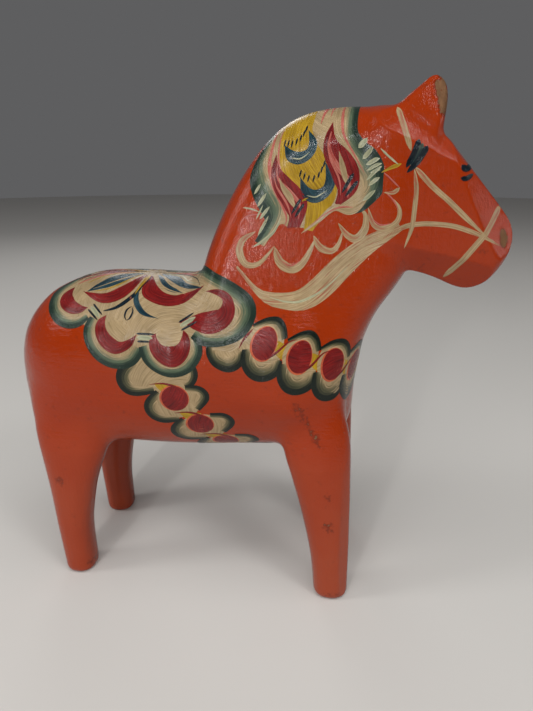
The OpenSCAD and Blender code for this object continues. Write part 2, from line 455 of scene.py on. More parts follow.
def red_enamel(finish):
    """Brushed oil enamel on pine.

    The paint film is opaque, deep orange-red and glossy, with shallow brush ridges, ripples
    and fine wrinkles. Where it has chipped or rubbed off, dull bare pine with an upright
    grain shows.
    """
    material, tree = new_material("red_oil_enamel_on_pine")
    place = add(tree, "ShaderNodeTexCoord").outputs["Object"]
    # Slow differences in the thickness of the coat, a hand's breadth across.
    coat = add(tree, "ShaderNodeTexNoise", {
        "Vector": place, "Scale": millimetre(70), "Detail": 3.0, "Roughness": 0.55})
    shade = add(tree, "ShaderNodeMix", {
        0: coat.outputs["Fac"], 6: (*finish.enamel, 1), 7: (*finish.enamel_thin, 1)},
        data_type="RGBA")
    # Specks of grime all over, up to about 9 mm across.
    speck = add(tree, "ShaderNodeTexNoise", {
        "Vector": place, "Scale": millimetre(9), "Detail": 6.0, "Roughness": 0.7})
    speck_step = add(tree, "ShaderNodeMapRange", {
        "Value": speck.outputs["Fac"], 1: 0.60, 2: 0.75, 3: 0.0, 4: 0.55})
    grimed = add(tree, "ShaderNodeMix", {
        0: speck_step.outputs[0], 6: shade.outputs[2], 7: (*finish.enamel_dark, 1)},
        data_type="RGBA")
    # Painted reflection of the pale floor: towards the bottom, over the legs, the enamel is
    # painted a little paler and pinker, in patches.
    heights = add(tree, "ShaderNodeSeparateXYZ", {"Vector": place})
    floor_reflection_mask = add(tree, "ShaderNodeMapRange", {
        "Value": heights.outputs["Z"], 1: FRAME_MIDDLE.z + 215 * METRES_PER_MM,
        2: FRAME_MIDDLE.z + 95 * METRES_PER_MM, 3: 0.0, 4: 0.75}, interpolation_type="SMOOTHSTEP")
    patchy_floor_reflection = add(tree, "ShaderNodeMath", {
        0: floor_reflection_mask.outputs[0], 1: coat.outputs["Fac"], 2: 0.0}, operation="MULTIPLY_ADD")
    floor_reflected = add(tree, "ShaderNodeMix", {
        0: patchy_floor_reflection.outputs[0], 6: grimed.outputs[2], 7: (*finish.enamel_floor_reflection, 1)},
        data_type="RGBA")
    # Grain of slow-grown pine, 1.5 mm wide and running up the boards.
    wood_place = add(tree, "ShaderNodeMapping", {
        "Vector": place, "Scale": (1.0, 0.8, 0.05)})
    grain = add(tree, "ShaderNodeTexNoise", {
        "Vector": wood_place.outputs[0], "Scale": millimetre(2.4), "Detail": 3.0,
        "Roughness": 0.6})
    pine = add(tree, "ShaderNodeMix", {
        0: grain.outputs["Fac"], 6: (*finish.bare_pine, 1), 7: (*finish.pine_ring, 1)},
        data_type="RGBA")
    worn = add(tree, "ShaderNodeAttribute", attribute_name="wear")
    ragged = add(tree, "ShaderNodeTexNoise", {
        "Vector": place, "Scale": millimetre(5), "Detail": 5.0, "Roughness": 0.6})
    bare = add(tree, "ShaderNodeMath", {
        0: worn.outputs["Fac"], 1: ragged.outputs["Fac"]}, operation="ADD")
    bare_step = add(tree, "ShaderNodeMapRange", {
        "Value": bare.outputs[0], 1: 0.96, 2: 1.0, 3: 0.0, 4: 1.0})
    # A dark smudge of worked-in dirt surrounds each chip.
    smudge = add(tree, "ShaderNodeMapRange", {
        "Value": bare.outputs[0], 1: 0.78, 2: 0.94, 3: 0.0, 4: 0.7})
    smudged = add(tree, "ShaderNodeMix", {
        0: smudge.outputs[0], 6: floor_reflected.outputs[2], 7: (*finish.enamel_dark, 1)},
        data_type="RGBA")
    colour = add(tree, "ShaderNodeMix", {
        0: bare_step.outputs[0], 6: smudged.outputs[2], 7: pine.outputs[2]},
        data_type="RGBA")
    # Brush ridges 3 mm apart and 40 mm long: along the barrel, and up the neck and the legs.
    lengthwise = add(tree, "ShaderNodeMapping", {"Vector": place, "Scale": (0.07, 1.0, 1.0)})
    upright = add(tree, "ShaderNodeMapping", {
        "Vector": place, "Rotation": (0.0, math.radians(22), 0.0), "Scale": (1.0, 1.0, 0.09)})
    on_barrel = add(tree, "ShaderNodeTexNoise", {
        "Vector": lengthwise.outputs[0], "Scale": millimetre(3.0), "Detail": 4.0,
        "Roughness": 0.6})
    on_neck = add(tree, "ShaderNodeTexNoise", {
        "Vector": upright.outputs[0], "Scale": millimetre(3.2), "Detail": 5.0,
        "Roughness": 0.65})
    from_barrel = add(tree, "ShaderNodeMath", {
        0: heights.outputs["Z"], 1: FRAME_MIDDLE.z + 238 * METRES_PER_MM}, operation="SUBTRACT")
    beyond = add(tree, "ShaderNodeMath", {0: from_barrel.outputs[0]}, operation="ABSOLUTE")
    upright_part = add(tree, "ShaderNodeMapRange", {
        "Value": beyond.outputs[0], 1: 75 * METRES_PER_MM, 2: 110 * METRES_PER_MM})
    ridges = add(tree, "ShaderNodeMix", {
        0: upright_part.outputs[0], 2: on_barrel.outputs["Fac"], 3: on_neck.outputs["Fac"]},
        data_type="FLOAT")
    # Ripples in the dried film and low knife facets under it, 12 and 34 mm across.
    ripple = add(tree, "ShaderNodeTexNoise", {
        "Vector": place, "Scale": millimetre(12), "Detail": 4.0, "Roughness": 0.6})
    facets = add(tree, "ShaderNodeTexVoronoi", {
        "Vector": place, "Scale": millimetre(34), "Smoothness": 0.6}, feature="SMOOTH_F1")
    # Fine wrinkles of the drying skin, 5 mm apart.
    wrinkle = add(tree, "ShaderNodeTexNoise", {
        "Vector": place, "Scale": millimetre(5), "Detail": 3.0, "Roughness": 0.7,
        "Distortion": 1.2})
    fine = add(tree, "ShaderNodeMath", {
        0: wrinkle.outputs["Fac"], 1: 0.9, 2: ripple.outputs["Fac"]}, operation="MULTIPLY_ADD")
    ridge_height = add(tree, "ShaderNodeMath", {
        0: ridges.outputs[0], 1: 1.2, 2: fine.outputs[0]}, operation="MULTIPLY_ADD")
    height = add(tree, "ShaderNodeMath", {
        0: facets.outputs["Distance"], 1: 1.6, 2: ridge_height.outputs[0]},
        operation="MULTIPLY_ADD")
    chipped = add(tree, "ShaderNodeMath", {
        0: bare_step.outputs[0], 1: 0.6}, operation="MULTIPLY")
    film = add(tree, "ShaderNodeMath", {
        0: height.outputs[0], 1: chipped.outputs[0]}, operation="SUBTRACT")
    bump = add(tree, "ShaderNodeBump", {
        "Height": film.outputs[0], "Strength": 1.0, "Distance": 0.38 * METRES_PER_MM})
    dull = add(tree, "ShaderNodeMapRange", {
        "Value": speck.outputs["Fac"], 1: 0.35, 2: 0.75, 3: 0.07, 4: 0.20})
    roughness = add(tree, "ShaderNodeMix", {
        0: bare_step.outputs[0], 2: dull.outputs[0], 3: 0.62}, data_type="FLOAT")
    shader = add(tree, "ShaderNodeBsdfPrincipled", {
        "Base Color": colour.outputs[2], "Roughness": roughness.outputs[0],
        "Normal": bump.outputs[0], "IOR": 1.45, "Specular IOR Level": 0.36})
    add(tree, "ShaderNodeOutputMaterial", {"Surface": shader.outputs[0]})
    return material


def sawn_pine(finish):
    """Sawn and glued faces of pine boards: dull brown, with wavy growth rings."""
    material, tree = new_material("sawn_pine")
    place = add(tree, "ShaderNodeTexCoord").outputs["Object"]
    along = add(tree, "ShaderNodeMapping", {"Vector": place, "Scale": (1.0, 1.0, 0.08)})
    rings = add(tree, "ShaderNodeTexWave", {
        "Vector": along.outputs[0], "Scale": millimetre(2.2) / 6.3, "Distortion": 4.0,
        "Detail": 3.0}, wave_type="BANDS", bands_direction="DIAGONAL")
    colour = add(tree, "ShaderNodeMix", {
        0: rings.outputs["Fac"], 6: (*finish.bare_pine, 1), 7: (*finish.pine_ring, 1)},
        data_type="RGBA")
    bump = add(tree, "ShaderNodeBump", {
        "Height": rings.outputs["Fac"], "Strength": 0.4, "Distance": 0.2 * METRES_PER_MM})
    shader = add(tree, "ShaderNodeBsdfPrincipled", {
        "Base Color": colour.outputs[2], "Roughness": 0.7, "Normal": bump.outputs[0]})
    add(tree, "ShaderNodeOutputMaterial", {"Surface": shader.outputs[0]})
    return material


def turned_birch(finish):
    """Birch dowel rod: smooth, pale cream, with fine short flecks along it."""
    material, tree = new_material("birch_dowel")
    place = add(tree, "ShaderNodeTexCoord").outputs["Object"]
    along = add(tree, "ShaderNodeMapping", {"Vector": place, "Scale": (1.0, 0.1, 1.0)})
    fleck = add(tree, "ShaderNodeTexNoise", {
        "Vector": along.outputs[0], "Scale": millimetre(1.5), "Detail": 4.0})
    colour = add(tree, "ShaderNodeMix", {
        0: fleck.outputs["Fac"], 6: (*finish.birch, 1), 7: (*finish.bare_pine, 1)},
        data_type="RGBA")
    bump = add(tree, "ShaderNodeBump", {
        "Height": fleck.outputs["Fac"], "Strength": 0.3, "Distance": 0.1 * METRES_PER_MM})
    shader = add(tree, "ShaderNodeBsdfPrincipled", {
        "Base Color": colour.outputs[2], "Roughness": 0.45, "Normal": bump.outputs[0]})
    add(tree, "ShaderNodeOutputMaterial", {"Surface": shader.outputs[0]})
    return material


def paint_property(name, description, hexadecimal):
    """A colour property whose default is an sRGB hex value."""
    return FloatVectorProperty(name=name, description=description, subtype="COLOR", size=3,
                               min=0, max=1, default=linear(hexadecimal))


class HorseFinish(bpy.types.PropertyGroup):
    """Colours of the enamel, the paints and the bare wood."""

    enamel: paint_property("Enamel", "Full coat of the ground enamel", "862502")
    enamel_thin: paint_property("Thin enamel", "Enamel where the coat is thin", "922E04")
    enamel_dark: paint_property("Grimy enamel", "Enamel in grimy specks", "561A08")
    # Paler, pinker enamel painted over the legs as a reflection of the pale floor.
    enamel_floor_reflection: paint_property("Enamel with painted floor reflection", "Enamel of the legs, paler and pinker as a painted reflection of the floor", "94462C")
    bare_pine: paint_property("Bare pine", "Wood where the paint is rubbed off", "7C5839")
    pine_ring: paint_property("Growth ring", "Dark rings of the bare pine", "432A16")
    birch: paint_property("Birch", "Dowel rod", "D8BE94")
    cream: paint_property("Cream", "Cream paint of the cells and the bridle", "A28C6A")
    cream_dark: paint_property("Cream, thin", "Cream where the brush ran dry", "806C4C")
    crimson: paint_property("Crimson", "Petals, crescents and balls", "7A1816")
    crimson_dark: paint_property("Crimson, full", "Crimson where it is thick", "4C0D0F")
    green: paint_property("Bottle green", "Dark edge of the saddle and the mane", "1A2A22")
    black_green: paint_property("Black green", "Dark edge of the strap's cells", "101812")
    sage: paint_property("Sage", "Bottle green worked into the cream", "4C5A46")
    olive: paint_property("Olive", "Black green worked into the cream", "4A4832")
    teal: paint_property("Dark teal", "Blue-green leaves and crescents", "0C1E28")
    teal_light: paint_property("Teal", "Blue-green where it is thin", "24424A")
    ochre: paint_property("Ochre", "Yellow band and squares", "A8861E")
    ochre_dark: paint_property("Ochre, thin", "Ochre where the brush ran dry", "806014")
    line: paint_property("Line black", "Dark ticks and stems", "080E12")
    salmon: paint_property("Salmon", "Thin pink-red strokes", "A8685A")
    salmon_dark: paint_property("Salmon, thin", "Salmon where the brush ran dry", "963E34")
    orange: paint_property("Orange", "Edge of the crimson balls", "B85A34")
    pale: paint_property("Pale grey-green", "Lashes and highlights", "A8A484")
    pale_dark: paint_property("Grey-green", "Lashes where the brush ran dry", "767A60")


class HorseCarving(bpy.types.PropertyGroup):
    """Sizes of the carved boards."""

    facet: FloatProperty(
        name="Facet", description="Width of the facets that make the skin, in drawn millimetres",
        default=2.0, min=1.2, max=6.0)


class HorseBrushwork(bpy.types.PropertyGroup):
    """Sizes of the painted strokes."""

    film: FloatProperty(
        name="Film", description="Thickness of a stroke of paint, in millimetres",
        default=0.5, min=0.1, max=1.0)
    lift: FloatProperty(
        name="Lift", description="Height of the first stroke above the enamel, in millimetres",
        default=0.09, min=0.05, max=0.5)


class HorseStage(bpy.types.PropertyGroup):
    """The floor, the lamps and the camera."""

    floor: paint_property("Floor", "Plain pale floor", "C9C6C1")
    eye: FloatVectorProperty(
        name="Camera", description="Place of the camera", subtype="TRANSLATION", unit="LENGTH",
        size=3, default=(0.098, -0.538, 0.4365))
    turn: FloatProperty(
        name="Turn", description="Turn of the camera towards the tail", subtype="ANGLE",
        default=math.radians(8.3))
    tilt: FloatProperty(
        name="Tilt", description="Tilt of the camera down to the floor", subtype="ANGLE",
        default=math.radians(19.9))
    lens: FloatProperty(
        name="Lens", description="Focal length in millimetres on a 36 mm frame",
        default=28.35, min=10, max=200)


# Depth layers and lengthwise places of the glued boards, from the frame's own nodes.
BOARD_NAMES = ("hind_leg", "flank", "foreleg", "rump", "loin", "neck", "head")
OUTER_BOARDS, INNER_BOARDS = BOARD_NAMES[:3], BOARD_NAMES[3:]


def joint_between(first, second, axis):
    """The place of the glue-line between two neighbouring boards of the frame."""
    return (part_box(first)[1][axis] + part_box(second)[0][axis]) / 2


def wear_at(p):
    """How far the enamel is worn at points p, 0 for whole and about 0.6 for bare."""
    x, y, z = p[:, 0], np.abs(p[:, 1]), p[:, 2]
    # Places rubbed bare: the middle, the reach along each axis and how bare.
    ear = [((166, 22, 488), (6, 14, 9), 0.64), ((169, 24, 477), (5, 9, 12), 0.64)]
    muzzle = [((232, 19, 367), (5, 6, 9), 0.66)]
    poll = [((128, 3, 474), (6, 4, 3), 0.6)]
    hind_leg = [((-187, 72, 116), (6, 8, 8), 0.42), ((-172, 60, 11), (9, 12, 6), 0.42)]
    foreleg = [((100, 70, 6), (14, 14, 6), 0.36), ((92, 72, 90), (7, 8, 8), 0.36),
               ((90, 72, 122), (6, 8, 7), 0.36)]
    shoulder = [((56 + 4.2 * i, 72, 218 - 7 * i), (6, 10, 6), 0.36) for i in range(7)]
    wear = np.zeros(len(p))
    for (cx, cy, cz), (rx, ry, rz), bare in ear + muzzle + poll + hind_leg + foreleg + shoulder:
        far = ((x - cx) / rx) ** 2 + ((y - cy) / ry) ** 2 + ((z - cz) / rz) ** 2
        wear = np.maximum(wear, bare * np.exp(-0.5 * far ** 2))
    sole = 0.38 * np.exp(-z / 2.5)
    return np.maximum(wear, sole)


class HORSE_OT_carve(bpy.types.Operator):
    """Carves the glued-up blank and saws it back into its fourteen boards"""

    bl_idname = "horse.carve_boards"
    bl_label = "Carve the boards"

    def execute(self, context):
        finish = context.scene.horse_finish
        enamel, pine = red_enamel(finish), sawn_pine(finish)
        whole = carved_skin(context.scene.horse_carving.facet)
        middle = joint_between("right_loin_board", "left_loin_board", 1)
        for side, keep_above in (("right", False), ("left", True)):
            half = sawn(whole, 1, middle, keep_above, 1)
            layers = (f"{side}_flank_board", f"{side}_loin_board")
            low, high = layers if side == "right" else layers[::-1]
            layer_joint = joint_between(low, high, 1)
            for names, above in ((OUTER_BOARDS, keep_above), (INNER_BOARDS, not keep_above)):
                layer = sawn(half, 1, layer_joint, above, 1)
                joints = [joint_between(f"{side}_{a}_board", f"{side}_{b}_board", 0)
                          for a, b in zip(names, names[1:])]
                for number, name in enumerate(names):
                    board = layer.copy()
                    if number > 0:
                        board = sawn(board, 0, joints[number - 1], True, 1)
                    if number < len(joints):
                        board = sawn(board, 0, joints[number], False, 1)
                    self.finish_board(f"{side}_{name}", board, enamel, pine)
        return {"FINISHED"}

    def finish_board(self, name, board, enamel, pine):
        """Turns one sawn block into its named piece of the horse."""
        mesh = bpy.data.meshes.new(f"{name}_carved")
        bmesh.ops.dissolve_degenerate(board, dist=1e-6, edges=board.edges[:])
        board.to_mesh(mesh)
        board.free()
        mesh.materials.append(enamel)
        mesh.materials.append(pine)
        points = mesh_points(mesh)
        point_values(mesh, "wear", wear_at(points))
        # The light runs on over the glue-lines as it does over the painted carving.
        smooth = horse_normal(points)
        corner_points = np.empty(len(mesh.loops), np.int32)
        mesh.loops.foreach_get("vertex_index", corner_points)
        normals = smooth[corner_points]
        flat = np.array([c for f in mesh.polygons if f.material_index == 1 or f.normal.z < -0.99
                         and f.center.z < FRAME_MIDDLE.z + METRES_PER_MM
                         for c in f.loop_indices], np.int64)
        if len(flat):
            per_loop = np.zeros((len(mesh.loops), 3))
            for f in mesh.polygons:
                per_loop[f.loop_start:f.loop_start + f.loop_total] = f.normal
            normals[flat] = per_loop[flat]
        mesh.normals_split_custom_set(normals.tolist())
        piece = bpy.data.objects.new(f"{name}_carved", mesh)
        bpy.context.scene.collection.objects.link(piece)
        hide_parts(f"{name}_board")
        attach(piece, BODY)


class HORSE_OT_dowels(bpy.types.Operator):
    """Gives the frame's hidden dowels their birch"""

    bl_idname = "horse.fit_dowels"
    bl_label = "Fit the dowels"

    def execute(self, context):
        birch = turned_birch(context.scene.horse_finish)
        for name in ("rump_dowels", "loin_dowels", "shoulder_dowels", "neck_dowels",
                     "head_dowel"):
            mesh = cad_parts[name].data
            mesh.materials.clear()
            mesh.materials.append(birch)
        return {"FINISHED"}


# ---- Painting -------------------------------------------------------------------------------
# Strokes are drawn flat, in millimetres over the skin, and then laid onto the carving. The
# sheets they are drawn on are: "flank", x and the way up the skin from the widest line; "chest",
# z and the way back from the middle of the chest; "crest", x and the way down from the top of
# the neck; and "side", x and z seen square from the side. All are on the horse's right side,
# and the left side is painted as its mirror image. Each point is a place of its own: the
# strokes don't follow from the driving sizes.
SHEETS = {}
SHEET_STRIDE = 4.0


def traced_sheet(name):
    """The keys along both ways of a sheet, and its grid of points on the skin."""
    if name in SHEETS:
        return SHEETS[name]
    if name == "flank":
        keys = np.arange(-232, 64, SHEET_STRIDE)
        inside = np.stack([keys, 0 * keys, 0 * keys + 235], -1)
        aim, across, up = (0, -1.0, 0), (1.0, 0, 0), np.array((0, 0, 1.0))
        steps = (32, 38)
    elif name == "chest":
        keys = np.arange(204, 320, SHEET_STRIDE)
        inside = np.stack([0 * keys + 60, 0 * keys, keys], -1)
        aim, across, up = (1.0, 0, 0), (0, 0, 1.0), np.array((0, -1.0, 0))
        steps = (0, 50)
    else:
        keys = np.arange(-36, 128, SHEET_STRIDE)
        inside = np.stack([keys, 0 * keys, 0 * keys + 300], -1)
        aim, across, up = (0, 0, 1.0), (1.0, 0, 0), np.array((0, -1.0, 0))
        steps = (0, 42)
    rows = np.ones((len(keys), 1))
    starts = first_skin_point(inside, rows * aim)
    grid = trace_skin(starts, rows * across, rows * up, steps[1], SHEET_STRIDE)
    if steps[0]:
        down = trace_skin(starts, rows * across, -rows * up, steps[0], SHEET_STRIDE)
        grid = np.concatenate([down[:, :0:-1], grid], 1)
    ways = np.arange(-steps[0], steps[1] + 1) * SHEET_STRIDE
    SHEETS[name] = keys, ways, grid
    return SHEETS[name]


def on_sheet(name, flat):
    """Points on the skin, in millimetres, for points drawn on a sheet."""
    if name == "side":
        inside = np.stack([flat[:, 0], 0 * flat[:, 0], flat[:, 1]], -1)
        return first_skin_point(inside, np.tile((0, -1.0, 0), (len(flat), 1)))
    keys, ways, grid = traced_sheet(name)
    a = np.clip((flat[:, 0] - keys[0]) / SHEET_STRIDE, 0, len(keys) - 1.001)
    b = np.clip((flat[:, 1] - ways[0]) / SHEET_STRIDE, 0, len(ways) - 1.001)
    i, j = a.astype(int), b.astype(int)
    a, b = (a - i)[:, None], (b - j)[:, None]
    return ((grid[i, j] * (1 - a) + grid[i + 1, j] * a) * (1 - b)
            + (grid[i, j + 1] * (1 - a) + grid[i + 1, j + 1] * a) * b)


def evenly(points, count):
    """Points spaced evenly along a smooth curve through the given ones."""
    dense = curve_through(points, False, 12)
    way = np.concatenate([[0], np.cumsum(np.linalg.norm(np.diff(dense, axis=0), axis=1))])
    at = np.linspace(0, way[-1], count)
    return np.stack([np.interp(at, way, dense[:, i]) for i in range(2)], -1)


def between(paint, layer, outer, inner):
    """A stroke that fills the space between its outer and its inner edge."""
    a, b = evenly(outer, 28), evenly(inner, 28)
    half = np.maximum(np.linalg.norm(a - b, axis=1) / 2, 0.12)
    middle = (a + b) / 2
    way = np.gradient(middle, axis=0)
    turn = way[:, 0] * (a - b)[:, 1] - way[:, 1] * (a - b)[:, 0]
    if turn.sum() < 0:
        middle, half = middle[::-1], half[::-1]
    return {"paint": paint, "layer": layer, "points": middle, "half": half}


def drawn(paint, layer, points, width, start=0.1, end=0.1):
    """A stroke of one brush: it swells over the start and thins over the end of its length."""
    middle = evenly(points, 28)
    t = np.linspace(0, 1, 28)
    swell = np.clip(t / start, 0, 1) ** 0.6 * np.clip((1 - t) / end, 0, 1) ** 0.6
    return {"paint": paint, "layer": layer, "points": middle,
            "half": np.maximum(width / 2 * swell, 0.12)}


def filled(paint, layer, centre, rim):
    """A patch brushed round and round, from its rim in to its centre."""
    return {"paint": paint, "layer": layer, "centre": np.array(centre, float),
            "rim": curve_through(rim, True, 6)}


def ball(paint, layer, centre, half_across, half_along, lean=0.0):
    """An oval dab."""
    t = np.linspace(0, 2 * np.pi, 12, endpoint=False)
    a, b = half_across * np.cos(t), half_along * np.sin(t)
    c, s = np.cos(lean), np.sin(lean)
    rim = np.stack([centre[0] + a * c - b * s, centre[1] + a * s + b * c], -1)
    return filled(paint, layer, centre, rim)


def moved(points, by):
    """Drawn points moved by an offset."""
    return [(x + by[0], y + by[1]) for x, y in points]


def saddle_strokes():
    """The saddle: four scalloped lobes with crimson crescents round a spray of leaves."""
    strokes = [filled("cream", 0, (-92, 98), [
        (-150, 134), (-166, 126), (-176, 110), (-184, 94), (-186, 78), (-180, 61), (-166, 54),
        (-146, 53), (-138, 46), (-134, 30), (-121, 20), (-107, 17), (-95, 21), (-84, 24),
        (-76, 15), (-58, 11), (-42, 18), (-34, 36), (-14, 42), (2, 48), (12, 62), (10, 78),
        (-2, 88), (-18, 97), (-34, 112), (-46, 130), (-70, 140), (-110, 140)])]
    rims = [
        ([(-164, 127), (-174, 114), (-182, 102), (-190, 89), (-190, 74), (-185, 60),
          (-173, 50), (-159, 47), (-147, 50), (-139, 58)],
         [(-158, 122), (-164, 110), (-171, 98), (-177, 86), (-176, 73), (-170, 64),
          (-163, 60), (-155, 59), (-149, 60), (-143, 63)]),
        ([(-138, 60), (-143, 48), (-141, 35), (-133, 22), (-121, 14), (-107, 12), (-95, 16),
          (-86, 27)],
         [(-131, 58), (-133, 45), (-128, 34), (-118, 26), (-107, 24), (-98, 28), (-90, 37)]),
        ([(-88, 32), (-83, 19), (-72, 10), (-58, 6), (-44, 10), (-34, 19), (-29, 30),
          (-31, 42)],
         [(-80, 38), (-74, 23), (-65, 17), (-51, 18), (-42, 27), (-38, 36), (-39, 46)]),
        ([(-36, 44), (-30, 39), (-20, 37), (-6, 39), (8, 46), (17, 60), (17, 72), (10, 81),
          (-4, 91), (-19, 100), (-34, 115), (-44, 134)],
         [(-37, 54), (-30, 51), (-18, 49), (-5, 52), (3, 62), (5, 72), (0, 81), (-11, 89),
          (-24, 97), (-40, 110), (-52, 130)]),
    ]
    strokes += [between("rim", 3 + 0.2 * i, *edges) for i, edges in enumerate(rims)]
    # Round cream dabs that the crescents cup.
    strokes += [ball("cream", 0.6, centre, size, size * 0.9) for centre, size in (
        ((-158, 82), 11), ((-112, 48), 11), ((-59, 44), 12), ((-24, 76), 12))]
    crescents = [
        ([(-165, 93), (-172, 86), (-176, 77), (-173, 69), (-163, 63), (-151, 63), (-142, 69)],
         [(-165, 93), (-163, 84), (-158, 76), (-151, 72), (-142, 69)]),
        ([(-122, 62), (-130, 55), (-131, 45), (-126, 34), (-116, 27), (-107, 28), (-97, 34),
          (-91, 45)],
         [(-122, 62), (-121, 50), (-113, 41), (-103, 38), (-91, 45)]),
        ([(-73, 47), (-78, 40), (-76, 29), (-68, 20), (-57, 16), (-47, 22), (-41, 34),
          (-42, 45), (-47, 51)],
         [(-73, 47), (-68, 38), (-59, 36), (-50, 40), (-47, 51)]),
        ([(-28, 88), (-14, 88), (-4, 82), (0, 69), (-4, 58), (-16, 51), (-31, 53), (-42, 57),
          (-52, 58)],
         [(-28, 88), (-14, 83), (-12, 76), (-17, 69), (-27, 67), (-37, 66), (-52, 58)]),
    ]
    strokes += [between("crimson", 5, *edges) for edges in crescents]
    strokes += [
        between("crimson", 5, [(-98, 120), (-104, 90), (-115, 77), (-131, 75), (-152, 87)],
                [(-99, 122), (-105, 110), (-113, 98), (-128, 86), (-152, 87)]),
        between("crimson", 5, [(-94, 118), (-92, 88), (-84, 79), (-68, 74), (-53, 77),
                               (-41, 86), (-31, 94)],
                [(-92, 120), (-82, 101), (-72, 90), (-59, 86), (-48, 90), (-31, 94)]),
        between("teal", 6, [(-103, 127), (-125, 119), (-139, 101), (-148, 87)],
                [(-103, 125), (-114, 107), (-126, 95), (-148, 87)]),
        drawn("cream", 7, [(-104, 124), (-118, 110), (-132, 98), (-143, 91)], 1.8, 0.3, 0.5),
        drawn("ochre", 7, [(-104, 121), (-115, 103), (-127, 92), (-140, 88)], 1.8, 0.3, 0.5),
        between("teal", 6, [(-86, 121), (-76, 100), (-66, 91), (-54, 90)],
                [(-86, 123), (-72, 107), (-61, 95), (-54, 90)]),
        between("teal", 6, [(-84, 125), (-66, 105), (-52, 96), (-33, 92)],
                [(-84, 127), (-66, 120), (-54, 105), (-33, 92)]),
        drawn("cream", 7, [(-86, 118), (-78, 102), (-67, 93), (-50, 88)], 1.6, 0.3, 0.5),
        drawn("cream", 7, [(-83, 122), (-70, 103), (-57, 94), (-44, 92)], 1.8, 0.3, 0.5),
        drawn("pale", 7, [(-80, 128), (-64, 123), (-52, 108), (-38, 98)], 1.8, 0.3, 0.5),
        drawn("line", 7, [(-84, 129), (-60, 127), (-44, 110), (-36, 96)], 1.2, 0.3, 0.5),
        drawn("salmon", 6, [(-112, 130), (-136, 123), (-154, 108), (-164, 98)], 5, 0.3, 0.6),
        drawn("ochre", 6, [(-108, 131), (-128, 125), (-144, 110), (-152, 100)], 2.4, 0.3, 0.6),
        drawn("line", 6, [(-106, 134), (-134, 128), (-156, 112), (-160, 103)], 1.4, 0.3, 0.6),
        drawn("crimson", 5, [(-110, 136), (-140, 130), (-160, 117), (-168, 106)], 7, 0.4, 0.5),
        drawn("salmon", 5, [(-78, 133), (-60, 131), (-44, 118)], 4, 0.3, 0.5),
        drawn("line", 8, [(-96, 118), (-97, 92), (-104, 79), (-114, 70), (-126, 66)],
              4.0, 0.5, 0.3),
        between("teal", 8, [(-97, 97), (-99, 80), (-93, 68), (-85, 63), (-72, 61)],
                [(-97, 97), (-94, 80), (-87, 69), (-80, 64), (-72, 61)]),
        drawn("ochre", 9, [(-94, 120), (-96, 102), (-99, 86)], 4.0, 0.2, 0.9),
        drawn("line", 9, [(-92, 118), (-93, 104), (-97, 90)], 1.2, 0.4, 0.6),
        drawn("line", 8, [(-99, 72), (-103, 68), (-104, 62), (-102, 58)], 1.8, 0.4, 0.4),
        drawn("line", 8, [(-98, 71), (-97, 66), (-99, 60), (-102, 58)], 1.8, 0.4, 0.4),
        drawn("salmon", 8, [(-103, 83), (-101, 79)], 2.2, 0.4, 0.4),
    ]
    # Three pairs of dark ticks where the lobes meet, with a pale dab between each pair.
    for a, b in (([(-141, 67), (-130, 57)], [(-137, 73), (-126, 62)]),
                 ([(-91, 46), (-74, 46)], [(-90, 39), (-77, 39)]),
                 ([(-52, 58), (-38, 68)], [(-49, 51), (-34, 60)])):
        middle = [tuple(np.mean(pair, 0)) for pair in zip(a, b)]
        strokes += [drawn("pale", 7, middle, 4.4, 0.2, 0.3), drawn("line", 8, a, 1.9, 0.1, 0.3),
                    drawn("line", 8, b, 1.9, 0.1, 0.3)]
    return "flank", strokes


GIRTH_BALLS = [(-57, -15), (-35, -44), (-14, -73), (0, -102)]
GIRTH_REAR_RIM = ([(-18, 5), (-27, -5), (-30, -14), (-26, -23), (-16, -28), (2, -26)],
                  [(-12, 6), (-18, -3), (-18, -13), (-11, -19), (4, -20)])
GIRTH_FRONT_RIM = ([(10, 14), (25, 14), (33, 8), (32, 0), (24, -12)],
                   [(12, 8), (21, 7), (23, 1), (18, -9)])
GIRTH_GROUND = [(-16, 4), (-24, -5), (-26, -14), (-23, -21), (-14, -24), (0, -22), (18, -16),
                (24, -8), (29, 1), (29, 7), (22, 11), (10, 12), (-5, 12)]


def girth_strokes():
    """The girth: cells with crimson balls, running down from the saddle under the belly."""
    strokes = [
        filled("cream", 0, (-68, 8), [
            (-90, 24), (-101, 12), (-105, 2), (-102, -6), (-92, -9), (-72, -9), (-50, -6),
            (-42, 1), (-38, 8), (-40, 16), (-50, 24), (-70, 26)]),
        between("shade", 1, [(-100, 18), (-108, 9), (-111, 1), (-110, -6), (-105, -12),
                           (-95, -14), (-76, -11)],
                [(-90, 22), (-97, 10), (-97, 0), (-93, -4), (-86, -5), (-76, -3)]),
        between("shade", 1, [(-40, 22), (-34, 16), (-33, 8), (-37, 0), (-44, -4)],
                [(-48, 20), (-43, 14), (-43, 8), (-45, 3), (-48, 0)]),
    ]
    for number, centre in enumerate(GIRTH_BALLS):
        layer = 2 + number
        rear, front = ([moved(edge, centre) for edge in rim]
                       for rim in (GIRTH_REAR_RIM, GIRTH_FRONT_RIM))
        size = 13.2 - 0.5 * number
        strokes += [
            filled("cream", layer, centre, moved(GIRTH_GROUND, centre)),
            between("shade", layer + 0.4, *rear),
            between("shade", layer + 0.4, *front),
            filled("ochre", layer + 0.6, moved([(-8, 11)], centre)[0],
                   moved([(-18, 14), (-8, 15), (3, 13), (-4, 8), (-11, 6)], centre)),
            ball("orange", layer + 1.0, centre, size + 1.2, size + 0.2, 0.3),
            ball("crimson", layer + 1.7, moved([(0.6, -0.4)], centre)[0], size - 0.2,
                 size - 0.4, 0.3),
            drawn("crimson", layer + 2.4, moved([(-23, 13), (-10, 14.5), (1, 12), (9, 6)],
                                                centre), 2.6, 0.8, 0.25),
        ]
    return "flank", strokes


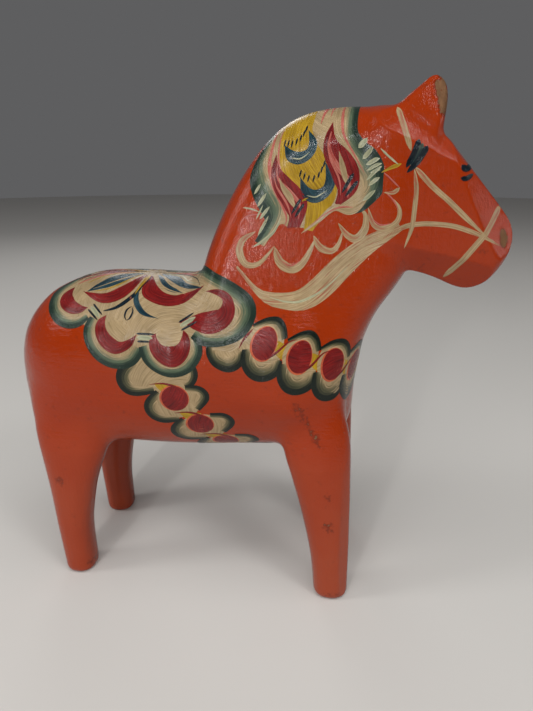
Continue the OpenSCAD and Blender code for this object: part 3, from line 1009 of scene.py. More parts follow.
CHEST_BALLS = [(276, 132), (264, 99), (255, 67), (248, 36)]
CHEST_LOW_RIM = ([(-8, 17), (-23, 16), (-33, 8), (-34, -3), (-27, -14), (-15, -17)],
                 [(-2, 14), (-12, 10), (-18, -2), (-12, -14)])
CHEST_TOP_RIM = ([(17, 12), (22, 0), (22, -11), (15, -18), (5, -21)],
                 [(13, 11), (16, 0), (12, -9), (4, -14)])
CHEST_GROUND = [(-6, 15), (-20, 14), (-29, 7), (-30, -3), (-24, -12), (-14, -15), (4, -18),
                (13, -15), (19, -10), (19, -1), (15, 10), (4, 15)]


def chest_strokes():
    """The breast strap: crimson balls in shaded cells joined by a thin wavy line."""
    strokes = [
        filled("cream", 0, (270, 163), [
            (269, 181), (260, 177), (254, 170), (254, 160), (262, 152), (276, 144), (291, 144),
            (286, 153), (278, 160), (273, 172)]),
        between("shade", 0.5, [(272, 184), (262, 182), (253, 175), (249, 162), (256, 151),
                             (268, 148)],
                [(273, 178), (267, 174), (263, 164), (269, 153)]),
        between("cream", 0.7, [(271, 180), (275, 163), (284, 153), (293, 140)],
                [(271, 176), (269, 160), (277, 149), (289, 138)]),
        drawn("ochre", 0.9, [(276, 166), (281, 156), (288, 148)], 1.6, 0.5, 0.5),
        drawn("crimson", 1.9, [(271, 154), (280, 150), (289, 143)], 2.4, 0.6, 0.3),
    ]
    for number, centre in enumerate(CHEST_BALLS):
        strokes += chest_cell(centre, 1 + number)
    # The middle cell, which the two sides share.
    strokes += [filled("cream", 1, (243, 3), [(226, 3), (232, 14), (246, 20), (262, 14),
                                              (266, 3), (262, -8), (246, -8), (230, -8)]),
                between("shade", 1.5, [(222, 0), (225, 12), (232, 20)], [(234, 0), (236, 8),
                                                                       (240, 16)]),
                between("shade", 1.5, [(268, 0), (267, 8), (262, 17)], [(261, 0), (260, 6),
                                                                      (257, 14)]),
                ball("crimson", 3, (244, 1), 13, 9)]
    return "chest", strokes


def chest_cell(centre, layer):
    """One cell of the breast strap round its crimson ball."""
    low, top = ([moved(edge, centre) for edge in rim] for rim in (CHEST_LOW_RIM, CHEST_TOP_RIM))
    return [
        filled("cream", layer, centre, moved(CHEST_GROUND, centre)),
        between("shade", layer + 0.4, *low),
        between("shade", layer + 0.4, *top),
        filled("ochre", layer + 0.6, moved([(-5, -16)], centre)[0],
               moved([(3, -11), (-9, -12), (-13, -20), (-2, -21)], centre)),
        ball("orange", layer + 1.0, centre, 15.6, 12.0, -0.2),
        ball("crimson", layer + 1.7, moved([(0.4, -0.6)], centre)[0], 14.6, 10.8, -0.2),
        drawn("crimson", layer + 3.4, moved([(-14, -2), (-7, -12), (2, -22), (4, -30)], centre),
              2.2, 0.3, 0.6),
    ]


def mane_strokes():
    """The mane: two feathered fringes round an ochre lock, with petals, eyes and lashes."""
    strokes = [
        filled("cream", 0, (64, 60), [
            (26, 0), (22, 22), (14, 32), (14, 46), (20, 65), (27, 83), (26, 96), (28, 106),
            (38, 104), (45, 111), (54, 115), (62, 118), (71, 115), (84, 106), (98, 106),
            (114, 102), (121, 94), (121, 86), (113, 70), (101, 56), (98, 42), (100, 12),
            (100, 0), (64, -4)]),
        between("rim", 2, [(30, 0), (26, 12), (17, 23), (10, 31), (12, 46), (18, 65), (25, 83),
                           (24, 92), (13, 100)],
                [(38, 0), (33, 18), (26, 32), (24, 42), (26, 56), (32, 72), (37, 88), (38, 100),
                 (26, 109)]),
        drawn("pale", 3, [(38, 98), (32, 106), (22, 105), (14, 101)], 4.0, 0.5, 0.5),
        between("rim", 2, [(103, 0), (102, 12), (100, 43), (105, 54), (117, 68), (125, 84),
                           (124, 97), (114, 105), (100, 108)],
                [(88, 0), (90, 14), (90, 43), (94, 58), (104, 72), (109, 85), (108, 95),
                 (102, 101), (94, 106)]),
        drawn("salmon", 2.5, [(34, 6), (29, 32), (27, 46), (31, 65), (38, 86), (43, 103),
                              (38, 111)], 3.2, 0.3, 0.4),
        drawn("salmon", 2.5, [(76, -4), (74, 14), (70, 34)], 4.0, 0.02, 0.7),
        drawn("salmon", 2.5, [(82, -4), (80, 14), (78, 28)], 2.6, 0.02, 0.7),
        drawn("cream", 2.7, [(86, 4), (84, 20), (83, 34), (86, 46), (96, 58), (107, 72)],
              5.0, 0.2, 0.5),
        drawn("salmon", 2.9, [(90, 6), (88, 26), (89, 44), (98, 60), (108, 76)], 2.4, 0.3, 0.6),
        between("crimson", 4, [(33, 42), (29, 51), (31, 67), (39, 86), (45, 101), (43, 112)],
                [(33, 42), (36, 57), (46, 74), (56, 88), (61, 99), (55, 114)]),
        drawn("salmon", 4.4, [(34, 50), (35, 64), (46, 82), (54, 96), (53, 108)],
              2.6, 0.6, 0.3),
        drawn("salmon", 4.4, [(31, 56), (34, 70), (43, 90), (47, 104)], 1.6, 0.6, 0.3),
        between("cream", 5, [(36, 64), (38, 75), (45, 90), (51, 99)],
                [(36, 64), (41, 74), (48, 86), (51, 99)]),
        between("ochre", 3, [(46, 0), (40, 19), (36, 36), (37, 55), (43, 70), (54, 85),
                             (59, 98), (58, 121)],
                [(67, 0), (65, 23), (63, 38), (68, 55), (76, 69), (83, 84), (85, 96),
                 (66, 119)]),
        drawn("salmon", 3.3, [(38, 22), (35, 38), (36, 55), (43, 72), (53, 86)], 1.4, 0.3, 0.5),
        between("teal", 4, [(40, 40), (44, 54), (54, 62), (63, 60), (67, 51), (60, 37)],
                [(40, 40), (48, 50), (56, 53), (61, 49), (60, 37)]),
        between("teal", 4, [(54, 73), (58, 90), (68, 98), (78, 94), (83, 83), (75, 66)],
                [(54, 73), (61, 84), (69, 87), (76, 82), (75, 66)]),
        drawn("pale", 4.3, [(46, 54), (54, 58), (62, 55)], 1.2, 0.4, 0.4),
        drawn("pale", 4.3, [(60, 90), (68, 93), (77, 89)], 1.2, 0.4, 0.4),
        between("crimson", 4, [(80, 34), (74, 45), (73, 56), (78, 68), (83, 79), (86, 91),
                               (84, 101)],
                [(80, 34), (82, 48), (87, 57), (98, 68), (104, 79), (102, 91), (88, 102)]),
        drawn("salmon", 4.4, [(79, 42), (78, 56), (85, 70), (95, 82), (95, 96)],
              5.0, 0.5, 0.4),
        drawn("salmon", 4.6, [(76, 50), (79, 64), (87, 80), (89, 94)], 1.8, 0.5, 0.4),
        between("cream", 5, [(86, 58), (87, 70), (90, 80), (95, 87)],
                [(86, 58), (91, 68), (94, 78), (95, 87)]),
        drawn("cream", 4.8, [(112, 98), (98, 107), (84, 104), (70, 114), (56, 121)],
              7.0, 0.2, 0.8),
        drawn("salmon", 4.9, [(100, 104), (88, 104), (74, 110), (62, 118)], 1.6, 0.2, 0.8),
    ]
    for row, tall in (([(40, 38), (47, 43), (54, 41), (58, 35)], 6.0),
                      ([(54, 70), (62, 77), (69, 76), (74, 67)], 6.0)):
        for x, v in evenly(row, 7):
            strokes.append(drawn("line", 5, [(x + 0.8, v - tall / 2), (x - 0.6, v + tall / 2)],
                                 1.7, 0.3, 0.4))
    strokes += [drawn("line", 6, ends, 3.0, 0.15, 0.3) for ends in (
        [(55, 91), (47, 101)], [(58, 96), (50, 105)], [(99, 76), (90, 92)],
        [(103, 82), (93, 95)])]
    # Pale lashes across both fringes.
    strokes += [drawn("pale", 6, ends, width, 0.3, 0.35) for ends, width in (
        ([(102, 56), (109, 49)], 5.0), ([(106, 65), (114, 58)], 4.6),
        ([(109, 70), (120, 69)], 4.2), ([(110, 75), (122, 73)], 3.2),
        ([(110, 83), (122, 75)], 3.4), ([(112, 88), (121, 84)], 3.8),
        ([(108, 99), (118, 94)], 4.2), ([(113, 78), (121, 78)], 2.4),
        ([(14, 56), (20, 54)], 4.2), ([(17, 70), (25, 67)], 4.6), ([(19, 83), (28, 81)], 4.2),
        ([(18, 96), (27, 88)], 4.0), ([(16, 80), (22, 74)], 2.4))]
    return "crest", strokes


def bridle_strokes():
    """The bridle, the reins and the scalloped edging below the mane, all in cream."""
    cream = [
        # The rein along the head, the straps and the noseband.
        ([(124, 365), (143, 376), (158, 379), (172, 379), (188, 377), (209, 370), (229, 360)],
         4.2, 0.1, 0.3),
        ([(132, 472), (138, 457), (145, 438)], 4.6, 0.1, 0.2),
        ([(149, 424), (152, 408), (152, 393), (151, 376), (146, 358)], 4.0, 0.2, 0.3),
        ([(149, 426), (164, 411), (180, 398), (196, 384), (213, 370)], 4.6, 0.1, 0.3),
        ([(226, 394), (217, 377), (202, 355), (184, 330)], 5.2, 0.05, 0.1),
        # Scallops, back to front.
        ([(16, 371), (5, 364), (2, 354), (8, 343), (20, 344), (33, 359)], 7.4, 0.35, 0.8),
        ([(33, 358), (38, 345), (50, 339), (60, 347), (69, 366)], 10.0, 0.3, 0.9),
        ([(67, 368), (73, 358), (83, 355), (89, 361), (92, 372)], 7.0, 0.3, 0.8),
        ([(88, 379), (96, 369), (104, 366), (111, 374), (111, 386), (106, 391)],
         7.0, 0.4, 0.4),
        ([(113, 392), (118, 379), (128, 375), (138, 381), (139, 392), (130, 402)],
         6.0, 0.35, 0.6),
    ]
    strokes = [drawn("rein", 0.2 * i, points, width, start, end)
               for i, (points, width, start, end) in enumerate(cream)]
    strokes.append(between("rein", 0, [(0, 342), (17, 324), (32, 319), (54, 320), (70, 330),
                                        (91, 352), (114, 369), (141, 380)],
                           [(0, 340), (24, 312), (44, 305), (61, 304), (77, 313), (97, 334),
                            (116, 353), (141, 373)]))
    strokes += [
        drawn("salmon", 3, [(116, 384), (124, 378), (134, 380)], 1.6, 0.4, 0.6),
        drawn("pale", 3, [(30, 315), (46, 311), (60, 312), (78, 322), (98, 342)],
              2.2, 0.4, 0.6),
        drawn("salmon", 3, [(40, 346), (48, 342), (57, 347)], 1.6, 0.4, 0.6),
        drawn("pale", 2, [(120, 440), (128, 433), (136, 427)], 1.6, 0.2, 0.3),
        drawn("ochre", 2, [(138, 428), (130, 425), (122, 421)], 3.2, 0.2, 0.6),
        drawn("salmon", 2, [(124, 421), (131, 415), (138, 409)], 1.6, 0.2, 0.3),
        drawn("rein", 2, [(138, 409), (133, 405), (125, 405)], 3.4, 0.2, 0.6),
        drawn("salmon", 2, [(127, 405), (134, 398), (139, 390)], 1.5, 0.2, 0.5),
        drawn("pale", 2, [(4, 391), (12, 390), (21, 387)], 1.4, 0.2, 0.5),
        drawn("salmon", 2, [(21, 386), (8, 384), (2, 376), (6, 368)], 1.3, 0.2, 0.6),
    ]
    # Rosette: two dark dabs with a grey-green one between them.
    strokes += [
        drawn("pale", 3, [(153, 443), (149, 433), (146, 425)], 6.0, 0.15, 0.25),
        drawn("rosette", 3.5, [(154, 444), (150, 434), (146, 425)], 4.6, 0.15, 0.25),
        drawn("line", 4, [(151, 447), (147, 435), (142, 425)], 4.6, 0.1, 0.2),
        drawn("line", 4, [(158, 442), (152, 431), (143, 421)], 4.8, 0.1, 0.25),
        drawn("line", 4, [(187, 427), (191, 424), (197, 427)], 5.0, 0.2, 0.3),
        drawn("line", 4, [(187, 417), (192, 416.5), (198, 420)], 4.0, 0.2, 0.3),
    ]
    return "side", strokes


def stroke_tree(paints):
    """Geometry nodes that sweep a flat brush along drawn lines of varying half width."""
    tree = bpy.data.node_groups.new("brush_strokes", "GeometryNodeTree")
    face = tree.interface
    face.new_socket("Lines", in_out="INPUT", socket_type="NodeSocketGeometry")
    step = face.new_socket("Step", in_out="INPUT", socket_type="NodeSocketFloat")
    hairs = face.new_socket("Hairs", in_out="INPUT", socket_type="NodeSocketInt")
    slots = [face.new_socket(f"Paint {name}", in_out="INPUT",
                             socket_type="NodeSocketMaterial") for name in paints]
    face.new_socket("Strokes", in_out="OUTPUT", socket_type="NodeSocketGeometry")
    given = add(tree, "NodeGroupInput")
    lines = add(tree, "GeometryNodeMeshToCurve", {0: given.outputs["Lines"]})
    level = add(tree, "GeometryNodeSetCurveNormal", {0: lines.outputs[0]}, mode="Z_UP")
    even = add(tree, "GeometryNodeResampleCurve", {
        "Curve": level.outputs[0], "Length": given.outputs["Step"]}, mode="LENGTH")
    along = add(tree, "GeometryNodeSplineParameter")
    travel = add(tree, "GeometryNodeStoreNamedAttribute", {
        "Geometry": even.outputs[0], "Name": "travel", "Value": along.outputs["Length"]},
        data_type="FLOAT", domain="POINT")
    brush = add(tree, "GeometryNodeCurvePrimitiveLine", {
        "Start": (-1.0, 0.0, 0.0), "End": (1.0, 0.0, 0.0)})
    bristles = add(tree, "GeometryNodeResampleCurve", {
        "Curve": brush.outputs[0], "Count": given.outputs["Hairs"]}, mode="COUNT")
    edge = add(tree, "GeometryNodeStoreNamedAttribute", {
        "Geometry": bristles.outputs[0], "Name": "edge", "Value": along.outputs["Factor"]},
        data_type="FLOAT", domain="POINT")
    half = add(tree, "GeometryNodeInputNamedAttribute", {"Name": "half_width"},
               data_type="FLOAT")
    swept = add(tree, "GeometryNodeCurveToMesh", {
        "Curve": travel.outputs[0], "Profile Curve": edge.outputs[0],
        "Scale": half.outputs["Attribute"]})
    out = add(tree, "GeometryNodeRealizeInstances", {0: swept.outputs[0]}).outputs[0]
    paint = add(tree, "GeometryNodeInputNamedAttribute", {"Name": "paint"}, data_type="INT")
    for number, name in enumerate(paints):
        chosen = add(tree, "FunctionNodeCompare", {
            2: paint.outputs["Attribute"], 3: number}, data_type="INT", operation="EQUAL")
        out = add(tree, "GeometryNodeSetMaterial", {
            "Geometry": out, "Selection": chosen.outputs[0],
            "Material": given.outputs[f"Paint {name}"]}).outputs[0]
    add(tree, "NodeGroupOutput", {0: out})
    return tree, step.identifier, hairs.identifier, [slot.identifier for slot in slots]


def swept_strokes(strokes, paints, context):
    """Flat ribbons for the strokes: corner points, faces, paint numbers and brush values."""
    points, edges, half, paint, layer = [], [], [], [], []
    for number, stroke in enumerate(strokes):
        start = len(points)
        count = len(stroke["points"])
        points += [(x, y, 0) for x, y in stroke["points"]]
        edges += [(start + i, start + i + 1) for i in range(count - 1)]
        half += list(stroke["half"])
        paint += [list(paints).index(stroke["paint"])] * count
        layer += [stroke["layer"] + 0.003 * number] * count
    mesh = bpy.data.meshes.new("stroke_lines")
    mesh.from_pydata(points, edges, [])
    point_values(mesh, "half_width", half)
    point_values(mesh, "layer", layer)
    number = mesh.attributes.new("paint", "INT", "POINT")
    number.data.foreach_set("value", np.array(paint, np.int32))
    lines = bpy.data.objects.new("stroke_lines", mesh)
    context.scene.collection.objects.link(lines)
    tree, step, hairs, slots = stroke_tree(paints)
    sweep = lines.modifiers.new("brush", "NODES")
    sweep.node_group = tree
    sweep[step] = 1.3
    sweep[hairs] = 9
    for identifier, material in zip(slots, paints.values()):
        sweep[identifier] = material
    context.view_layer.update()
    solid = bpy.data.meshes.new_from_object(
        lines.evaluated_get(context.evaluated_depsgraph_get()))
    lines.modifiers.clear()
    bpy.data.objects.remove(lines)
    flat = np.empty(len(solid.vertices) * 3)
    solid.vertices.foreach_get("co", flat)
    values = {}
    for name in ("travel", "edge", "half_width", "layer"):
        values[name] = np.empty(len(solid.vertices))
        solid.attributes[name].data.foreach_get("value", values[name])
    faces = [tuple(f.vertices) for f in solid.polygons]
    pots = [material.name for material in paints.values()]
    order = [pots.index(material.name) if material else 0 for material in solid.materials]
    chosen = [order[f.material_index] for f in solid.polygons]
    values["hair"] = values["edge"] * values["half_width"] * 2
    return flat.reshape(-1, 3)[:, :2], faces, chosen, values


def filled_patch(patch, number):
    """Rings of points from a patch's rim to its centre, with their brush values."""
    rim, centre = patch["rim"], patch["centre"]
    rings = max(3, int(np.linalg.norm(rim - centre, axis=1).max() / 2.6))
    fractions = np.linspace(1, 0.04, rings)
    points = np.vstack([centre + (rim - centre) * f for f in fractions])
    count = len(rim)
    faces = []
    for ring in range(rings - 1):
        for i in range(count):
            j = (i + 1) % count
            a, b = ring * count, (ring + 1) * count
            faces.append((a + i, a + j, b + j, b + i))
    last = (rings - 1) * count
    faces.append(tuple(last + i for i in range(count)))
    # The brush marks run in shallow arcs, each patch at its own angle.
    lean = 0.5 + 0.9 * number
    way = (points - centre) @ np.array([[math.cos(lean), -math.sin(lean)],
                                        [math.sin(lean), math.cos(lean)]])
    same = np.zeros(len(points))
    return points, faces, {"travel": way[:, 0], "hair": way[:, 1] + 0.018 * way[:, 0] ** 2,
                           "edge": same + 0.6, "layer": same + patch["layer"] + 0.003 * number}


def painted_piece(name, sheet, strokes, paints, context):
    """Lays strokes drawn on a sheet onto both sides of the horse, as two thin pieces."""
    brush = context.scene.horse_brushwork
    lines = [s for s in strokes if "points" in s]
    flat, faces, chosen, values = swept_strokes(lines, paints, context)
    flats, every = [flat], {k: [v] for k, v in values.items() if k != "half_width"}
    total = len(flat)
    for number, patch in enumerate(s for s in strokes if "rim" in s):
        points, patch_faces, patch_values = filled_patch(patch, number)
        flats.append(points)
        faces += [tuple(total + i for i in f) for f in patch_faces]
        chosen += [list(paints).index(patch["paint"])] * len(patch_faces)
        for key in every:
            every[key].append(patch_values[key])
        total += len(points)
    flat = np.vstack(flats)
    values = {k: np.concatenate(v) for k, v in every.items()}
    points = on_sheet(sheet, flat)
    points[:, 1] = np.minimum(points[:, 1], -0.02)
    points = onto_skin(points, 2)
    normals = horse_normal(points)
    lift = brush.lift + 0.03 * values["layer"]
    raised = points + normals * lift[:, None]
    for side, mirror in (("right", 1), ("left", -1)):
        corners = raised * (1, mirror, 1)
        mesh = bpy.data.meshes.new(f"{side}_{name}")
        mesh.from_pydata(in_metres(corners).tolist(), [], faces)
        mesh.polygons.foreach_set("material_index", chosen)
        for material in paints.values():
            mesh.materials.append(material)
        for key in ("travel", "edge", "hair"):
            point_values(mesh, key, values[key])
        self_facing(mesh, normals * (1, mirror, 1))
        piece = bpy.data.objects.new(f"{side}_{name}", mesh)
        context.scene.collection.objects.link(piece)
        film = piece.modifiers.new("film", "SOLIDIFY")
        film.thickness = brush.film * METRES_PER_MM
        film.offset = -1
        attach(piece, BODY)


def islands(sheet):
    """The separate strokes of a mesh, each as a list of faces."""
    waiting = set(sheet.faces)
    while waiting:
        stack, island = [waiting.pop()], []
        while stack:
            face = stack.pop()
            island.append(face)
            near = {f for edge in face.edges for f in edge.link_faces} & waiting
            waiting -= near
            stack += near
        yield island


def self_facing(mesh, outward):
    """Turns every stroke of a laid sheet to look out of the horse."""
    sheet = bmesh.new()
    sheet.from_mesh(mesh)
    out = sheet.verts.layers.float_vector.new("outward")
    for vertex, normal in zip(sheet.verts, outward.tolist()):
        vertex[out] = normal
    bmesh.ops.dissolve_degenerate(sheet, dist=2e-6, edges=sheet.edges[:])
    bmesh.ops.recalc_face_normals(sheet, faces=sheet.faces[:])
    wrong, crumbs = [], []
    for island in islands(sheet):
        if len(island) < 4:
            crumbs += island
        elif sum(face.normal.dot(face.verts[0][out]) for face in island) < 0:
            wrong += island
    bmesh.ops.reverse_faces(sheet, faces=wrong)
    bmesh.ops.delete(sheet, geom=crumbs, context="FACES")
    # The edge of a stroke is a crisp step, so the light doesn't roll over it.
    for edge in sheet.edges:
        edge.smooth = not edge.is_boundary
    for face in sheet.faces:
        face.smooth = True
    sheet.verts.layers.float_vector.remove(out)
    sheet.to_mesh(mesh)
    sheet.free()


def brushed_paint(name, light, dark, loaded=None, thin=None):
    """Artist's oil paint laid with a flat bristle brush.

    The film is opaque and half glossy, with fine ridges along the stroke about 1.2 mm apart,
    drawn a little coarser than life so that they show. A double-loaded brush carries a dark
    colour on one side, which fades through the streaks into the light one.
    """
    material, tree = new_material(name)
    travel = add(tree, "ShaderNodeAttribute", attribute_name="travel").outputs["Fac"]
    hair = add(tree, "ShaderNodeAttribute", attribute_name="hair").outputs["Fac"]
    edge = add(tree, "ShaderNodeAttribute", attribute_name="edge").outputs["Fac"]
    slow = add(tree, "ShaderNodeMath", {0: travel, 1: 0.045}, operation="MULTIPLY")
    across = add(tree, "ShaderNodeCombineXYZ", {"X": slow.outputs[0], "Y": hair})
    bristle = add(tree, "ShaderNodeTexNoise", {
        "Vector": across.outputs[0], "Scale": 0.85, "Detail": 3.0, "Roughness": 0.65},
        noise_dimensions="2D")
    place = add(tree, "ShaderNodeTexCoord").outputs["Object"]
    cloud = add(tree, "ShaderNodeTexNoise", {
        "Vector": place, "Scale": millimetre(14), "Detail": 3.0})
    streak = add(tree, "ShaderNodeMapRange", {
        "Value": bristle.outputs["Fac"], 1: 0.28, 2: 0.66})
    body = add(tree, "ShaderNodeMix", {
        0: streak.outputs[0], 6: (*dark, 1), 7: (*light, 1)}, data_type="RGBA")
    if loaded:
        far, middle = loaded
        wander = add(tree, "ShaderNodeMath", {
            0: bristle.outputs["Fac"], 1: 0.5}, operation="SUBTRACT")
        shifted = add(tree, "ShaderNodeMath", {
            0: wander.outputs[0], 1: 0.55, 2: edge}, operation="MULTIPLY_ADD")
        ramp = add(tree, "ShaderNodeMapRange", {
            "Value": shifted.outputs[0], 1: 0.26, 2: 0.62},
            interpolation_type="SMOOTHSTEP")
        near = add(tree, "ShaderNodeMix", {
            0: ramp.outputs[0], 6: (*far, 1), 7: (*middle, 1)}, data_type="RGBA")
        ramp_two = add(tree, "ShaderNodeMapRange", {
            "Value": shifted.outputs[0], 1: 0.56, 2: 0.98},
            interpolation_type="SMOOTHSTEP")
        body = add(tree, "ShaderNodeMix", {
            0: ramp_two.outputs[0], 6: near.outputs[2], 7: body.outputs[2]},
            data_type="RGBA")
    if thin:
        # Where the bristles skip, the ground shows through.
        skip = add(tree, "ShaderNodeMapRange", {
            "Value": bristle.outputs["Fac"], 1: 0.42, 2: 0.30, 3: 0.0, 4: 0.75})
        body = add(tree, "ShaderNodeMix", {
            0: skip.outputs[0], 6: body.outputs[2], 7: (*thin, 1)}, data_type="RGBA")
    shade = add(tree, "ShaderNodeMapRange", {
        "Value": cloud.outputs["Fac"], 1: 0.3, 2: 0.7, 3: 0.86, 4: 1.06})
    tone = add(tree, "ShaderNodeHueSaturation", {
        "Color": body.outputs[2], "Value": shade.outputs[0]})
    bump = add(tree, "ShaderNodeBump", {
        "Height": bristle.outputs["Fac"], "Strength": 1.0, "Distance": 0.32 * METRES_PER_MM})
    dull = add(tree, "ShaderNodeMapRange", {
        "Value": cloud.outputs["Fac"], 1: 0.3, 2: 0.7, 3: 0.15, 4: 0.30})
    shader = add(tree, "ShaderNodeBsdfPrincipled", {
        "Base Color": tone.outputs[0], "Roughness": dull.outputs[0],
        "Normal": bump.outputs[0], "IOR": 1.45, "Specular IOR Level": 0.34})
    add(tree, "ShaderNodeOutputMaterial", {"Surface": shader.outputs[0]})
    return material


PAINTS = {}


def mixed_paints(finish):
    """The pots of paint, mixed once and shared by every motif."""
    if not PAINTS:
        cream, green, sage = finish.cream[:], finish.green[:], finish.sage[:]
        PAINTS.update({
            "cream": brushed_paint("cream_oil_paint", cream, finish.cream_dark[:]),
            "rein": brushed_paint("thin_cream_oil_paint", cream, finish.cream_dark[:],
                                  thin=finish.salmon_dark[:]),
            "rim": brushed_paint("green_and_cream_oil_paint", cream, finish.cream_dark[:],
                                 (green, sage)),
            "shade": brushed_paint("black_green_and_cream_oil_paint", cream,
                                   finish.cream_dark[:],
                                   (finish.black_green[:], finish.olive[:])),
            "crimson": brushed_paint("crimson_oil_paint", finish.crimson[:],
                                     finish.crimson_dark[:]),
            "teal": brushed_paint("blue_green_oil_paint", finish.teal_light[:],
                                  finish.teal[:]),
            "ochre": brushed_paint("ochre_oil_paint", finish.ochre[:], finish.ochre_dark[:]),
            "line": brushed_paint("black_green_oil_paint", finish.teal[:], finish.line[:]),
            "salmon": brushed_paint("salmon_oil_paint", finish.salmon[:],
                                    finish.salmon_dark[:], thin=finish.crimson[:]),
            "orange": brushed_paint("orange_oil_paint", finish.orange[:],
                                    finish.salmon_dark[:]),
            "pale": brushed_paint("pale_grey_green_oil_paint", finish.pale[:],
                                  finish.pale_dark[:]),
            "rosette": brushed_paint("grey_green_oil_paint", finish.sage[:], finish.teal[:]),
        })
    return PAINTS


class PaintStep:
    """Shared work of the painting steps."""

    def execute(self, context):
        sheet, strokes = self.strokes()
        painted_piece(self.piece, sheet, strokes, mixed_paints(context.scene.horse_finish),
                      context)
        return {"FINISHED"}


class HORSE_OT_saddle(PaintStep, bpy.types.Operator):
    """Paints the saddle on both flanks"""

    bl_idname = "horse.paint_saddle"
    bl_label = "Paint the saddle"
    piece = "saddle_paint"
    strokes = staticmethod(saddle_strokes)


class HORSE_OT_girth(PaintStep, bpy.types.Operator):
    """Paints the girth on both flanks"""

    bl_idname = "horse.paint_girth"
    bl_label = "Paint the girth"
    piece = "girth_paint"
    strokes = staticmethod(girth_strokes)


class HORSE_OT_breast_strap(PaintStep, bpy.types.Operator):
    """Paints the breast strap round the chest"""

    bl_idname = "horse.paint_breast_strap"
    bl_label = "Paint the breast strap"
    piece = "breast_strap_paint"
    strokes = staticmethod(chest_strokes)


class HORSE_OT_mane(PaintStep, bpy.types.Operator):
    """Paints the mane on both sides of the neck"""

    bl_idname = "horse.paint_mane"
    bl_label = "Paint the mane"
    piece = "mane_paint"
    strokes = staticmethod(mane_strokes)


class HORSE_OT_bridle(PaintStep, bpy.types.Operator):
    """Paints the bridle, the reins and the scallops"""

    bl_idname = "horse.paint_bridle"
    bl_label = "Paint the bridle"
    piece = "bridle_paint"
    strokes = staticmethod(bridle_strokes)


PAINT_STEPS = (HORSE_OT_saddle, HORSE_OT_girth, HORSE_OT_breast_strap, HORSE_OT_mane,
               HORSE_OT_bridle)


SKY_COLOUR = (0.8, 0.8, 0.82, 1)
SKY_STRENGTH = 0.14


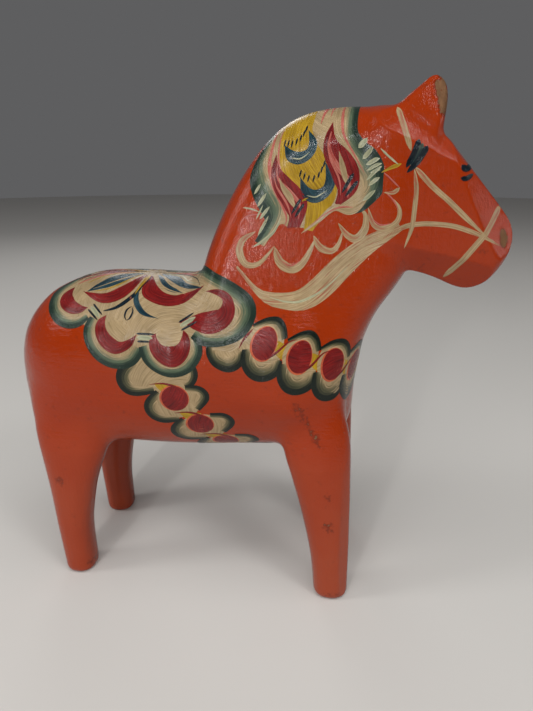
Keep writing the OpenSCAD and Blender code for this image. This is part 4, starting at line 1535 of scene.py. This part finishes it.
class HORSE_OT_stage(bpy.types.Operator):
    """Lays the floor, hangs the lamps and sets the camera"""

    bl_idname = "horse.set_stage"
    bl_label = "Set the stage"

    def execute(self, context):
        stage = context.scene.horse_stage
        self.lay_floor(stage)
        # Name, direction from the horse (turn from +X, height), distance, width, height, power.
        # The last two only light the paint and leave no reflection in it.
        lamps = [("window", (-98, 15), 2.6, 0.8, 0.9, 3.2),
                 ("bulb", (-103, 17), 2.6, 0.14, 0.26, 14),
                 ("side_window", (-160, 36), 2.6, 0.5, 1.2, 13),
                 ("back_window", (112, 27), 2.6, 0.9, 0.5, 6),
                 ("brow_lamp", (-40, 43), 2.6, 0.5, 0.5, 9),
                 ("nose_lamp", (2, 12), 2.6, 0.22, 0.22, 2.2),
                 ("ceiling", (-70, 68), 2.6, 2.6, 2.2, 44),
                 ("front_fill", (-98, 22), 3.4, 3.2, 1.6, 37)]
        for name, (turn, height), distance, width, tall, power in lamps:
            lamp = self.hang_lamp(name, turn, height, distance, width, tall, power)
            lamp.visible_glossy = name not in ("ceiling", "front_fill")
        world = bpy.data.worlds.new("studio")
        world.use_nodes = True
        world.node_tree.nodes["Background"].inputs["Color"].default_value = SKY_COLOUR
        world.node_tree.nodes["Background"].inputs["Strength"].default_value = SKY_STRENGTH
        context.scene.world = world
        context.scene.view_settings.view_transform = "Standard"
        camera = bpy.data.objects.new("camera", bpy.data.cameras.new("camera"))
        camera.location = stage.eye
        camera.rotation_euler = (math.pi / 2 - stage.tilt, 0, stage.turn)
        camera.data.lens = stage.lens
        camera.data.sensor_width = 36
        camera.data.clip_start = 0.01
        context.scene.collection.objects.link(camera)
        context.scene.camera = camera
        return {"FINISHED"}

    def lay_floor(self, stage):
        """A wide plain floor that the soles stand on."""
        material, tree = new_material("matt_paper")
        place = add(tree, "ShaderNodeTexCoord").outputs["Object"]
        tooth = add(tree, "ShaderNodeTexNoise", {
            "Vector": place, "Scale": 60.0, "Detail": 3.0})
        bump = add(tree, "ShaderNodeBump", {
            "Height": tooth.outputs["Fac"], "Strength": 0.1, "Distance": 0.001})
        shader = add(tree, "ShaderNodeBsdfPrincipled", {
            "Base Color": (*stage.floor, 1), "Roughness": 0.8, "Normal": bump.outputs[0]})
        add(tree, "ShaderNodeOutputMaterial", {"Surface": shader.outputs[0]})
        mesh = bpy.data.meshes.new("floor")
        sheet = bmesh.new()
        bmesh.ops.create_circle(sheet, cap_ends=True, segments=96, radius=6.0)
        sheet.to_mesh(mesh)
        sheet.free()
        mesh.materials.append(material)
        floor = bpy.data.objects.new("floor", mesh)
        floor.location.z = CAD_BOUNDS[0].z - 0.0002
        bpy.context.scene.collection.objects.link(floor)

    def hang_lamp(self, name, turn, height, distance, width, tall, power):
        """A soft rectangular lamp that faces the middle of the horse."""
        lamp = bpy.data.lights.new(name, "AREA")
        lamp.shape = "RECTANGLE"
        lamp.size, lamp.size_y = width, tall
        lamp.energy = power
        holder = bpy.data.objects.new(name, lamp)
        turn, height = math.radians(turn), math.radians(height)
        way = Vector((math.cos(turn) * math.cos(height), math.sin(turn) * math.cos(height),
                      math.sin(height)))
        middle = (CAD_BOUNDS[0] + CAD_BOUNDS[1]) / 2
        holder.location = middle + way * distance
        holder.rotation_euler = way.to_track_quat("Z", "Y").to_euler()
        bpy.context.scene.collection.objects.link(holder)
        return holder


class HORSE_PT_build(bpy.types.Panel):
    """Lists the sizes, the colours and the steps of the build"""

    bl_idname = "HORSE_PT_build"
    bl_label = "Painted wooden horse"
    bl_space_type = "VIEW_3D"
    bl_region_type = "UI"
    bl_category = "Horse"

    def draw(self, context):
        scene = context.scene
        for group in (scene.horse_carving, scene.horse_brushwork, scene.horse_finish,
                      scene.horse_stage):
            box = self.layout.box()
            for name in group.bl_rna.properties.keys():
                if name not in ("rna_type", "name"):
                    box.prop(group, name)
        for step in STEPS:
            self.layout.operator(step.bl_idname)


GROUPS = {
    "horse_finish": HorseFinish, "horse_carving": HorseCarving,
    "horse_brushwork": HorseBrushwork, "horse_stage": HorseStage,
}
STEPS = (HORSE_OT_stage, HORSE_OT_carve, HORSE_OT_dowels) + PAINT_STEPS
CLASSES = (*GROUPS.values(), *STEPS, HORSE_PT_build)


def register():
    for cls in CLASSES:
        bpy.utils.register_class(cls)
    for name, group in GROUPS.items():
        setattr(bpy.types.Scene, name, PointerProperty(type=group))


def unregister():
    for name in GROUPS:
        delattr(bpy.types.Scene, name)
    for cls in reversed(CLASSES):
        bpy.utils.unregister_class(cls)


def main():
    register()
    for step in STEPS:
        group, call = step.bl_idname.split(".")
        getattr(getattr(bpy.ops, group), call)()


if __name__ == "__main__":
    main()
